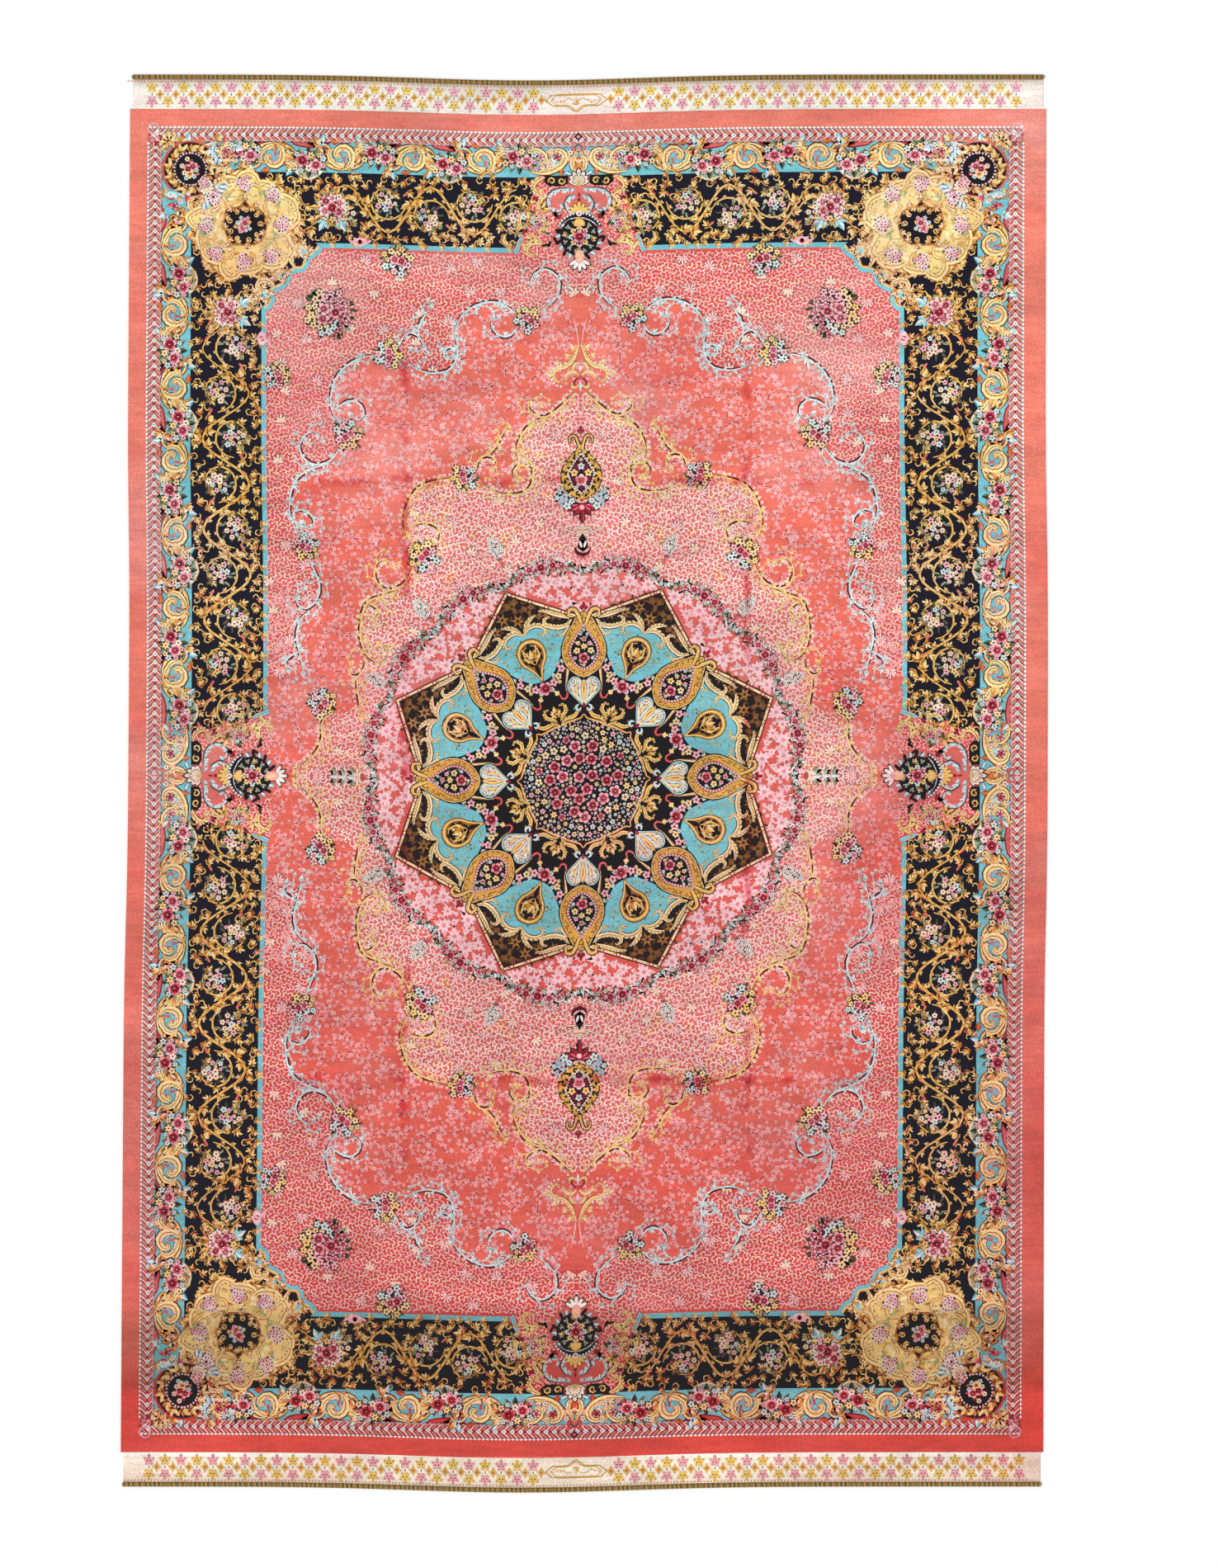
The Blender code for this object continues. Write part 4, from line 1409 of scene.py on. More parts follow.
def palmetteHeart(drawing):
    # The heart palmette of the medallion, its point to the middle
    half = [(0, 89), (6, 96), (13, 103), (18.5, 110), (18.5, 118), (13, 124.5), (6, 124), (2, 120), (0, 121)]
    heart = closedShape(half, 2.5)
    for grow, paint, level in ((1.12, "black", 3.1), (1.05, "turquoisePale", 3.4), (0.99, "turquoiseDark", 3.6),
                               (0.93, "goldLight", 3.7), (0.85, "cream", 3.8)):
        patchOf(drawing, ((heart - (0, 108)) * grow + (0, 108)).tolist(), paint, level)
    for side in (1, -1):
        for u, v, wide, tall, turn, heartPaint, rim, level in ((13.0, 113, 3.4, 8.6, 0.50, "white", "cream", 4.1),
                                                               (8.6, 111, 2.8, 11.0, 0.34, "yellow", "goldLight",
                                                                4.3),
                                                               (4.6, 108, 2.2, 12.5, 0.18, "white", "turquoisePale",
                                                                4.5)):
            blot(drawing, side * u, v, wide + 0.7, tall + 0.6, -side * turn, "turquoiseDark", "turquoiseDark",
                 level - 0.1, 10, leafForm)
            blot(drawing, side * u, v, wide, tall, -side * turn, heartPaint, rim, level, 10, leafForm)
        curl = spiralPath(side * 14.0, 119, 5.0, 1.6, 1.8 if side > 0 else math.pi - 1.8, side * 0.85, 1.4)
        ribbon(drawing, curl, 3.6, "turquoiseDark", "navy", 4.8, 0.6, 0.4)
        ribbon(drawing, curl, 2.2, "white", "cream", 5.0, 0.6, 0.4)
        for u, v, paint in ((6.6, 112, "red"), (11.0, 115, "red"), (10.6, 108, "orange"), (2.6, 117, "orange"),
                            (6.0, 103, "red"), (15.4, 110, "navy")):
            blot(drawing, side * u, v, 0.7, 2.4, -side * 0.35, paint, paint, 5.2, 4)
        foot = spiralPath(side * 6.0, 88, 4.2, 1.8, math.pi / 2, -side * 0.8, 1.3)
        ribbon(drawing, foot, 3.8, "navy", "turquoiseDark", 4.2, 0.6, 0.6)
        ribbon(drawing, foot, 2.4, "white", "turquoisePale", 4.4, 0.6, 0.6)
    blot(drawing, 0, 110, 4.4, 14.1, 0, "goldDark", "goldDark", 5.2, 10, leafForm)
    blot(drawing, 0, 110, 3.6, 13.2, 0, "yellow", "goldLight", 5.4, 10, leafForm)
    blot(drawing, 0, 111, 1.2, 7.5, 0, "red", "orange", 5.8, 6, leafForm)
    blot(drawing, 0, 91, 2.4, 4.2, 0, "red", "darkRed", 6.0, 8, leafForm)


def cartoucheSector():
    # One gold pointed oval with its heart palmette, its axis along +v
    d = newDrawing()
    half = [(0, 203), (9, 197), (14, 187), (22, 173), (26, 158), (22, 142), (12, 131), (0, 126)]
    ring = closedShape(half, 3).tolist()
    patchOf(d, swelled(ring, 1.09, 160, 1.06), "black", 3.6)
    patchOf(d, ring, "gold", 4.0)
    rim = np.array(ring + ring[:1])
    ribbon(d, rim, 2.0, "goldLight", "goldDark", 4.6, 1, 1)
    for k in range(0, len(rim) - 1, 2):
        x, y = 0.88 * rim[k][0], 160 + 0.90 * (rim[k][1] - 160)
        ribbon(d, spiralPath(x, y, 2.7, 1.0, k * 0.9, 0.8 if k % 4 else -0.8, 1.3), 1.3, "brown", "goldDark", 4.8,
               0.5, 0.5)
        blot(d, *polar(x, y, 1.6, k), 0.9, 2.0, k * 1.7, "goldLight", "gold", 5.0, 5)
    inner = [(0, 190), (4, 182), (12, 170), (17, 158), (14, 146), (7, 138), (0, 135)]
    core = closedShape(inner, 2.5).tolist()
    patchOf(d, swelled(core, 1.16, 159, 1.07), "goldDark", 5.4)
    patchOf(d, swelled(core, 1.10, 159, 1.05), "darkRed", 5.6)
    patchOf(d, core, "black", 6.0)
    pearls(d, np.array(core + core[:1]), 3.6, 1.5, "pale", "rose", 6.4)
    for u, v, size, kind in ((0, 148, 7.0, "roseRed"), (8.4, 157, 4.2, "cream"), (-8.4, 157, 4.2, "yellow"),
                             (0, 162, 4.6, "yellowStar"),
                             (7, 166, 3.0, "pinkSmall"), (-7, 166, 3.0, "cream"), (0, 171, 3.2, "rose"), (4, 177, 2.0,
                                     "white"),
                             (-4, 177, 2.0, "white"), (10.5, 148, 2.4, "white"), (-10.5, 148, 2.4, "pinkSmall"), (0,
                                     182, 1.8, "cream"),
                             (0, 139.5, 2.2, "cream")):
        stampMotif(d, "greenLeaf", u, v, u * 2 + v, 6.0, 6.6)
        stampMotif(d, kind, u, v, u + v, size, 7.4)
    for side in (1, -1):
        horn = mirrored(side, [(3, 190), (6, 199), (11, 207), (18, 206), (18, 199), (13, 198)], 1.8)
        ribbon(d, horn, 6.4, "black", "black", 4.8, 0.8, 0.5)
        ribbon(d, horn, 4.0, "goldLight", "gold", 5.2, 0.8, 0.5)
    stampMotif(d, "redTulip", 0, 205, 0, 12, 5.4)
    palmetteHeart(d)
    return collect(d)


def middleDisc():
    d = newDrawing()
    corners = [((71.5 + 9 * abs(math.cos(4 * a)) ** 4) * math.sin(a),
                (71.5 + 9 * abs(math.cos(4 * a)) ** 4) * math.cos(a))
               for a in np.linspace(0, -2 * math.pi, 97)[:-1]]
    patchOf(d, corners, "black", 0.9)
    pick = random.Random(17)
    placed = []
    small = ("cream", "white", "pinkSmall", "ringFlower", "cream", "white", "pinkSmall", "blue", "ringFlower")
    for size, limit, tries, names in ((7.6, 44, 300, ("roseRed", "rose", "roseRed")),
                                      (5.0, 56, 220, ("roseRed", "yellowStar", "ringFlower", "roseRed", "yellowStar",
                                                      "ringFlower")),
                                      (3.5, 66, 420, ("ringFlower", "white", "pinkSmall", "yellowStar",
                                                      "cream")), (2.3, 69, 1200, small), (1.5, 73, 7000,
                                              ("dot", "dot", "dotPink", "dot"))):
        for number in range(tries):
            reach, angle = limit * math.sqrt(pick.random()), pick.uniform(0, 2 * math.pi)
            u, v = reach * math.cos(angle), reach * math.sin(angle)
            if all((u - a) ** 2 + (v - b) ** 2 > ((size + other) * (0.90 if size > 5 else 1.0)) ** 2 for a, b,
                   other in placed):
                placed.append((u, v, size))
                if 2 < size < 6 and number % 2:
                    stampMotif(d, "greenLeaf", u, v, angle * 3, size * 1.6, 1.6)
                stampMotif(d, names[number % len(names)], u, v, angle, size,
                           2.2 + (1.5 if size > 5 else 0.0) + 0.05 * (number % 7))
    print("disc flowers", len(placed))
    return collect(d)


def starRing():
    # The coral ring of pale star blossoms, one eighth
    d = newDrawing()
    pick = random.Random(6)
    placed = []
    for size, tries in ((9.6, 300), (7.4, 400), (5.0, 700), (3.2, 700)):
        for number in range(tries):
            angle, reach = pick.uniform(-eighth, eighth), pick.uniform(190, 258)
            bearing = abs(angle) / eighth
            kite = 195 + 50 * bearing
            if reach < kite + size * 0.75 or reach > 247 + 9 * math.sin(math.pi * bearing) - size * 0.4:
                continue
            u, v = reach * math.sin(angle), reach * math.cos(angle)
            if all((u - a) ** 2 + (v - b) ** 2 > ((size + other) * 0.90) ** 2 for a, b, other in placed):
                placed.append((u, v, size))
                stampMotif(d, "paleStar", u, v, number, size * 1.06, 1.0 + 0.04 * (number % 7))
                if size > 4:
                    for extra in range(3):
                        stampMotif(d, "paleLeaf", u, v, number + extra * 2.1, size * 1.5, 0.4)
    return collect(d)


def garlandRing():
    d = newDrawing()
    pick = random.Random(4)

    def at(share, across):
        angle = (share - 0.5) * eighth
        reach = 251 + 12 * math.sin(math.pi * share) ** 0.7 + across
        return reach * math.sin(angle), reach * math.cos(angle)

    for k in range(30):
        share = (k + 0.5) / 30
        plump = math.sin(math.pi * share) ** 0.8
        for across in (-1, 0, 1):
            u, v = at(share + pick.uniform(-0.01, 0.01), across * (1.6 + 4.6 * plump))
            stampMotif(d, ("darkLeaf", "seaLeaf", "blackLeaf", "greenLeaf")[(k + across) % 4], u, v,
                       pick.uniform(0, 6), 7.0, 0.3 + 0.05 * (k % 5))
    for number, (share, across, size) in enumerate(((0.50, 0, 7.4), (0.36, 1.0, 6.0), (0.64, 1.0, 6.0),
                                                    (0.25, 0, 4.4), (0.75, 0, 4.4))):
        u, v = at(share, across)
        stampMotif(d, "roseRed" if number % 2 == 0 else "rose", u, v, number, size, 2.0 + 0.2 * number)
    for number in range(14):
        share = (0.03, 0.09, 0.15, 0.2, 0.3, 0.42, 0.57, 0.7, 0.8, 0.86, 0.92, 0.97, 0.44, 0.56)[number]
        across = (0, 1.8, -1.8, 3.6, -6, 7.5, 7.5, -6, 3.6, -1.8, 1.8, 0, -7.0, -7.0)[number]
        u, v = at(share, across)
        stampMotif(d, ("white", "blue", "pinkSmall", "white")[number % 4], u, v, number, 2.7, 1.4 + 0.1 * (number % 3))
    return collect(d)


ringGround = newDrawing()
lobed = [((253 + 10 * abs(math.sin(8 * a)) ** 0.7) * math.cos(a),
          (253 + 10 * abs(math.sin(8 * a)) ** 0.7) * math.sin(a))
         for a in np.linspace(0, 2 * math.pi, 193)[:-1]]
patchOf(ringGround, lobed, dye(232, 104, 92), -4.5)
around = joined(collect(ringGround), aroundTheMiddle(starRing(), 8),
                aroundTheMiddle(turnedRound(garlandRing(), eighth / 2), 16))
layInlay("starRing", around, 5.0)
medallionParts = joined(turnedRound(aroundTheMiddle(shieldSector(), 8), eighth),
                        aroundTheMiddle(cartoucheSector(), 8), middleDisc())
layInlay("medallion", medallionParts, 6.5)


# Pendants and bays on the two axes
def crownOf():
    # The gold crown over each end of the inner line of scrolls
    d = newDrawing()
    for side in (1, -1):
        stem = mirrored(side, [(2, 528), (4, 545), (8, 560)], 3)
        ribbon(d, stem, 1.4, "pale", "cream", 1.0, 0.6, 0.3)
        for points, wide, way in (([(1, 528), (5, 516), (10, 507), (18, 500), (26, 499), (32, 493), (31, 486),
                                    (25, 483), (21, 487)], 3.4, 1),
                                  ([(1, 490), (7, 495), (14, 494), (19, 489), (18, 484)], 2.8,
                                   -1), ([(1, 479), (6, 475), (11, 477), (10, 482)], 2.4, 1),
                                  ([(1, 506), (6, 505), (10, 499), (9, 495)], 2.4, -1)):
            path = mirrored(side, points, 2)
            crescent(d, path, wide, 1.2, way * side, "yellowPale", "yellow", "orange", "cloudLine", "cloudTongue")
        hook = mirrored(side, [(2, 487), (6, 485), (8, 480), (5, 478)], 1.6)
        ribbon(d, hook, 2.4, "red", "darkRed", 2.0, 0.6, 0.4)
        rim = smoothPath([(side * u, v) for u, v in ((16, 506), (25, 503), (34, 497), (36, 488), (30, 479),
                                                     (22, 477))], 2)
        pearls(d, rim, 5.0, 1.5, "white", "rose", 2.6)
        for u, v, turn in ((12, 512, -0.9), (24, 504, -1.1), (35, 494, -1.8), (6, 521, -0.6)):
            stampMotif(d, "paleFrond", side * u, v, side * turn, 8, 1.4)
    blot(d, 0, 499, 2.8, 5.4, 0, "white", "pink", 2.4, 8, leafForm)
    blot(d, 0, 477, 2.0, 6.5, 0, "turquoisePale", "white", 2.4, 8, leafForm)
    blot(d, 0, 488, 2.2, 3.0, 0, "red", "rose", 2.4, 7)
    return collect(d)


def pendant():
    d = newDrawing()
    stampMotif(d, "redTulip", 0, 419, 0, 11, 2.0)
    for side in (1, -1):
        handle = mirrored(side, [(2, 398), (3, 408), (7, 417), (13, 416), (14, 410), (9, 409)], 1.8)
        ribbon(d, handle, 5.4, "black", "black", 1.6, 0.9, 0.6)
        ribbon(d, handle, 2.6, "goldLight", "gold", 2.2, 0.8, 0.5)
        for u, v, size, kind in ((21, 343, 6.6, "greyStar"), (18, 332, 5.4, "white"), (27, 350, 4.2, "greyStar"),
                                 (25, 336, 4.6, "greyStar"),
                                 (12, 338, 4.0, "white"), (30, 342, 3.2, "white")):
            for turn in (-1.2, 1.9, 0.3):
                stampMotif(d, "blackLeaf" if turn != 0.3 else "greenLeaf", side * u, v, side * turn, size * 1.8, 0.6)
            stampMotif(d, kind, side * u, v, u, size, 1.2)
    half = [(0, 405), (6, 399), (14, 390), (22, 378), (24, 366), (19, 352), (10, 344), (0, 340)]
    ring = closedShape(half, 3).tolist()
    patchOf(d, swelled(ring, 1.06, 370, 1.04), dye(90, 60, 20), 1.8)
    patchOf(d, ring, "gold", 2.2)
    for k in range(len(ring)):
        for share, leaf, size in ((0.84, "blackLeaf", 7.0), (0.93, "goldLeaf", 6.0)):
            x, y = share * ring[k][0], 371 + (share + 0.02) * (ring[k][1] - 371)
            stampMotif(d, leaf, x, y, k * 1.3 + share * 9, size, 2.8)
    core = [(0, 396), (9, 384), (16, 371), (11, 356), (0, 347), (-11, 356), (-16, 371), (-9, 384)]
    patchOf(d, core, "black", 3.3)
    patchOf(d, swelled(core, 0.82, 371, 0.84), dye(124, 24, 60), 3.6)
    pearls(d, np.array(core + core[:1], float), 3.4, 1.3, "white", "rose", 4.0)
    for u, v, size, kind in ((0, 380, 4.6, "white"), (8.5, 372, 4.8, "yellow"), (-8.5, 372, 4.8, "yellow"),
                             (0, 363, 7.6, "rosePink"),
                             (0, 388, 2.4, "cream"), (6, 355, 2.6, "white"), (-6, 355, 2.6, "white")):
        stampMotif(d, "blackLeaf", u, v, u, size * 1.8, 4.2)
        stampMotif(d, kind, u, v, 0, size, 4.6)
    for angle in (2.0, -2.0, 2.5, -2.5, 3.14):
        stampMotif(d, "redTulipDark", 0, 334, angle, 17, 1.8)
    for angle in (2.2, -2.2, 1.7, -1.7):
        blot(d, -9 * math.sin(angle), 334 + 9 * math.cos(angle), 1.2, 4.4, angle, "pink", "rose", 3.0, 6, leafForm)
    blot(d, 0, 330, 3.4, 3.4, 0, "ivory", "pink", 4.0, 8)
    stampMotif(d, "redTulipDark", 0, 324, math.pi, 13, 2.4)
    blot(d, 0, 309, 2.4, 4.4, 0, "white", "greenPale", 1.8, 8, leafForm)
    for side in (1, -1):
        for points in ([(0, 303), (side * 8, 306), (side * 11, 301), (side * 6, 299)],
                       [(0, 297), (side * 12, 300), (side * 22, 304), (side * 27, 298), (side * 21, 296)],
                       [(side * 4, 293), (side * 14, 294), (side * 20, 290)]):
            bracket = smoothPath(points, 2)
            ribbon(d, bracket, 2.8, "red", "darkRed", 1.0, 0.5, 0.4)
            ribbon(d, bracket, 1.5, "cream", "ivory", 1.6, 0.5, 0.4)
    blot(d, 0, 288, 5.4, 11.5, 0, "black", "black", 1.6, 12, leafForm)
    blot(d, 0, 284, 6.4, 6.8, 0, "black", "black", 1.6, 12)
    for side in (1, -1):
        blot(d, side * 2.6, 285.5, 1.5, 4.4, -side * 0.3, "white", "ivory", 2.2, 8)
    moon = smoothPath([(-10, 282), (-7, 275.5), (0, 272.5), (7, 275.5), (10, 282)], 2)
    ribbon(d, moon, 4.4, "black", "darkRed", 1.8, 0.4, 0.2)
    return collect(d)


def sidePendant():
    d = newDrawing()
    for v, wide, tall in ((303, 5, 9), (293, 7, 9), (281, 9, 10)):
        for side in (1, -1):
            stampMotif(d, "greenLeaf", side * 3, v - 3, -side * 1.1, tall * 1.1, 0.8)
            stampMotif(d, "blackLeaf", side * 2, v - 3, -side * 0.6, tall * 1.1, 0.4)
            for k in range(3):
                blot(d, side * (1 + k * wide * 0.3), v - 3 + k, 1.8, 1.8, 0, "white", "ivory", 1.6, 6)
        stampMotif(d, "whiteDrop", 0, v - 5, 0, tall * 1.3, 1.4)
    blot(d, 0, 268, 4.6, 4.0, math.pi / 4, "goldDark", "red", 1.4, 4)
    return collect(d)


def bayHalfAxis(shellAt):
    # What stands on a bay's axis, its shell outwards at shellAt
    d = newDrawing()
    o = shellAt
    widths = [(44, 4), (52, -8), (58, -22), (62, -40), (66, -58), (70, -70), (75, -84), (78, -91)]
    outline = [(w, o + h) for w, h in widths] + [(-w, o + h) for w, h in reversed(widths)]
    patchOf(d, outline, "fieldRed", -1.0)
    pick = random.Random(int(o))
    for row in range(13):  # the field's sprigs run on into the bay
        for column in range(10):
            u, v = (column + (0.25 if row % 2 else 0.75)) * 7.9, o - 90 + row * 7.0
            if u < np.interp(v - o, [h for _, h in reversed(widths)], [w for w, _ in reversed(widths)]) - 3:
                for side in (1, -1):
                    stampMotif(d, "baySprig" if (row + column) % 3 else "baySprigPale", side * u, v,
                               pick.uniform(0, 6.28), 5.0, -0.6 + pick.uniform(0, 0.2), side < 0)
    for side in (1, -1):
        edge = smoothPath([(side * w, o + h) for w, h in ((70, -70), (75, -84), (78, -91))], 3)
        for width, paint, level in ((7.0, "scrollLine", -0.2), (5.6, "pale", -0.1), (4.0, "turquoise", 0.0)):
            ribbon(d, edge, width, paint, paint, level, 0.3, 1)
        for k, (w, h) in enumerate(((48, -4), (51, -12), (55, -20), (57, -28), (60, -36), (61, -44), (64, -52),
                                    (65, -60), (68, -67), (71, -76), (56, -8), (62, -30), (66, -46))):
            leaf = ("redLeaf", "goldFrond", "blackLeaf", "redTulipDark", "goldFrond")[k % 5]
            stampMotif(d, leaf, side * w, o + h, side * (2.4 * k), 10, 0.6 + 0.02 * k)
        for points, wide in (([(41, 2), (50, -2), (55, -10), (50, -16), (44, -13)], 4.2),
                             ([(38, -20), (46, -26), (46, -36), (39, -38)], 3.8),
                             ([(66, -40), (72, -48), (70, -58), (63, -58)], 3.6)):
            crescent(d, smoothPath([(side * u, o + v) for u, v in points], 2), wide, 1.3, side, "yellowPale",
                     "scrollMid", "goldDark", "scrollLine", "scrollTongue")
        for k in range(7):
            stampMotif(d, "redTulipDark" if k % 2 else "darkLeaf", side * (12 + 3.2 * k), o - 44 - 2 * (k % 3),
                       side * (1.1 + k), 9, 0.9)
        for k in range(5):
            stampMotif(d, "blackLeaf", side * (27 + 2.4 * k), o - 60 - 5 * k, side * (0.6 + k), 10, 0.9)
    heart = [(0, o - 8), (14, o - 9), (30, o - 15), (35, o - 26), (30, o - 36), (14, o - 38), (0, o - 30)]
    heart = closedShape(heart, 4).tolist()
    patchOf(d, heart, "bayPink", -0.1)
    for side in (1, -1):
        box = [(side * 13, o + 4), (side * 13, o - 6), (side * 20, o - 9), (side * 36, o - 9), (side * 42, o - 4),
               (side * 42, o + 4)]
        patchOf(d, box, "black", 0.4)
        for k, centre in enumerate((21, 33)):
            ess = spiralPath(side * centre, o - 2.5, 4.6, 1.6, 0.5 + 3 * k, side * 1.1, 1.4)
            ribbon(d, ess, 2.0, "goldLight", "gold", 1.0, 0.6, 0.4)
        for points in ([(5, -12), (16, -12), (30, -14), (38, -22), (38, -33), (31, -40), (22, -40), (19, -33),
                        (24, -29)],
                       [(4, -20), (12, -22), (17, -30), (14, -40), (8, -46)]):
            path = smoothPath([(side * u, o + v) for u, v in points], 2.4)
            acanthus(d, path, 2.6, 1.0, 5.4, 7.0, -side, "ivory", "greyBlue", "navy", "seaTrefoil", "darkRed")
        # bouquet at the bay's mouth
        for k in range(12):
            angle, reach = k * 2.4, 13 * math.sqrt((k + 0.5) / 12)
            stampMotif(d, "darkLeaf" if k % 2 else "goldFrond", side * (49 + reach * math.cos(angle)),
                       o - 54 + reach * math.sin(angle), angle, 10, 1.1)
        bouquet(d, side * 49, o - 54, 12, 15, 5, 1.4, ("pinkSmall", "cream", "white", "yellow", "rosePink"), 1, 1.5)
        for angle in (-0.6, 0.4, 1.4):
            stampMotif(d, "goldFrond", side * 45, o - 38, side * angle, 11, 1.0)
            stampMotif(d, "paleFrond", side * 56, o - 71, side * angle + 3, 10, 1.0)
        hook = mirrored(side, [(40, o - 82), (50, o - 78), (60, o - 80), (64, o - 88), (57, o - 93), (52, o - 88)], 2.2)
        crescent(d, hook, 4.0, 1.2, side, "yellowPale", "scrollMid", "goldDark", "cloudLine", "cloudTongue")
    stampMotif(d, "shell", 0, o - 8, 0, 20, 2.0)
    stampMotif(d, "shell", 0, o - 6, 0, 12, 3.6)
    stampMotif(d, "goldFan", 0, o - 48, 0, 20, 2.0)
    blot(d, 0, o - 26, 2.4, 2.4, 0, "black", "red", 2.4, 6)
    blot(d, 0, o - 20, 1.8, 3.4, 0, "black", "red", 2.4, 6, leafForm)
    # palmette: white and turquoise leaves outside, dark round with a rose
    centre = o - 71
    blot(d, 0, centre, 33, 33, 0, "bayPink", "bayPink", 0.3, 22)
    for k in range(22):
        angle = k * 2 * math.pi / 22
        stampMotif(d, "seaLeafLined" if k % 2 else "blackLeaf", *bearing(centre, 20.5, angle), -angle + 0.45,
                   11.5 - 2 * (k % 2), 1.0)
    blot(d, 0, centre, 23.5, 23.5, 0, "black", "black", 2.4, 22)
    for k in range(12):
        angle = (k + 0.5) * 2 * math.pi / 12
        stampMotif(d, "goldFrond" if k % 3 == 0 else "greenLeaf", *bearing(centre, 15, angle), -angle + 0.6, 7.0, 3.0)
        stampMotif(d, "dot" if k % 2 else "dotPink", *bearing(centre, 19, angle), 0, 1.6, 3.2)
    for k, kind in enumerate(("cream", "pinkSmall", "white", "yellow", "pinkSmall", "cream", "white", "yellow")):
        angle = k * math.pi / 4
        stampMotif(d, "greenLeaf", *bearing(centre, 9, angle), -angle, 8, 3.4)
        stampMotif(d, kind, *bearing(centre, 9.6, angle), angle, 3.8, 4.0)
    stampMotif(d, "roseRed", 0, centre, 0, 8.2, 5.0)
    arc = spiralPath(0, centre, 27, 27, math.pi / 2 - 1.1, 2.2 / (2 * math.pi), 3)
    ribbon(d, arc, 8.0, "white", "turquoise", 3.6, 0.3, 0.1)
    ribbon(d, arc, 6.2, "navy", "navy", 4.2, 0.3, 0.1)
    pearls(d, arc, 3.8, 1.3, "white", "pink", 5.0, -1.8)
    stampMotif(d, "goldFan", 0, centre + 13, 0, 11, 4.6)
    blot(d, 0, centre + 28, 3.4, 3.4, 0, "red", "ivory", 6.0, 8)
    blot(d, 0, centre - 24, 6, 9, 0, "goldLight", "pink", 4.0, 8)
    for k in range(5):
        angle = math.pi + (k - 2) * 0.52
        for paint, size, level in (("black", 1.0, 3.0), ("ivory", 0.74, 3.6)):
            reach = 6 if k == 2 else 5
            blot(d, -(reach + 4) * math.sin(angle), centre - 27 + (reach + 4) * math.cos(angle), 2.9 * size,
                 7.4 * size, angle,
                 paint, paint, level, 10)
    return collect(d)


layInlay("pendants", joined(onEnds(joined(pendant(), crownOf())), onSides(sidePendant())), 3.0)


# Main navy border
def tendrilFill(drawing, low, high, allowed, seed, spacing=11.0, level=0.4):
    # Small gold tendrils scattered where the navy ground would lie bare
    pick = random.Random(seed)
    placed = []
    for tries in range(1400):
        x, y = pick.uniform(low[0], high[0]), pick.uniform(low[1], high[1])
        if allowed(x, y) and all((x - a) ** 2 + (y - b) ** 2 > spacing ** 2 for a, b in placed):
            placed.append((x, y))
            turn, way = pick.uniform(0, 6.28), pick.choice((-1, 1))
            hook = spiralPath(x, y, 5.5, 2.0, turn, way * 0.66, 1.8)
            ribbon(drawing, hook, 1.6, "goldLight", "gold", level, 0.4, 0.5)
            stampMotif(drawing, "goldFrond" if len(placed) % 4 else "orangeFrond", hook[0][0], hook[0][1],
                       turn - way * 0.4, pick.uniform(8.0, 10.5), level + 0.2)


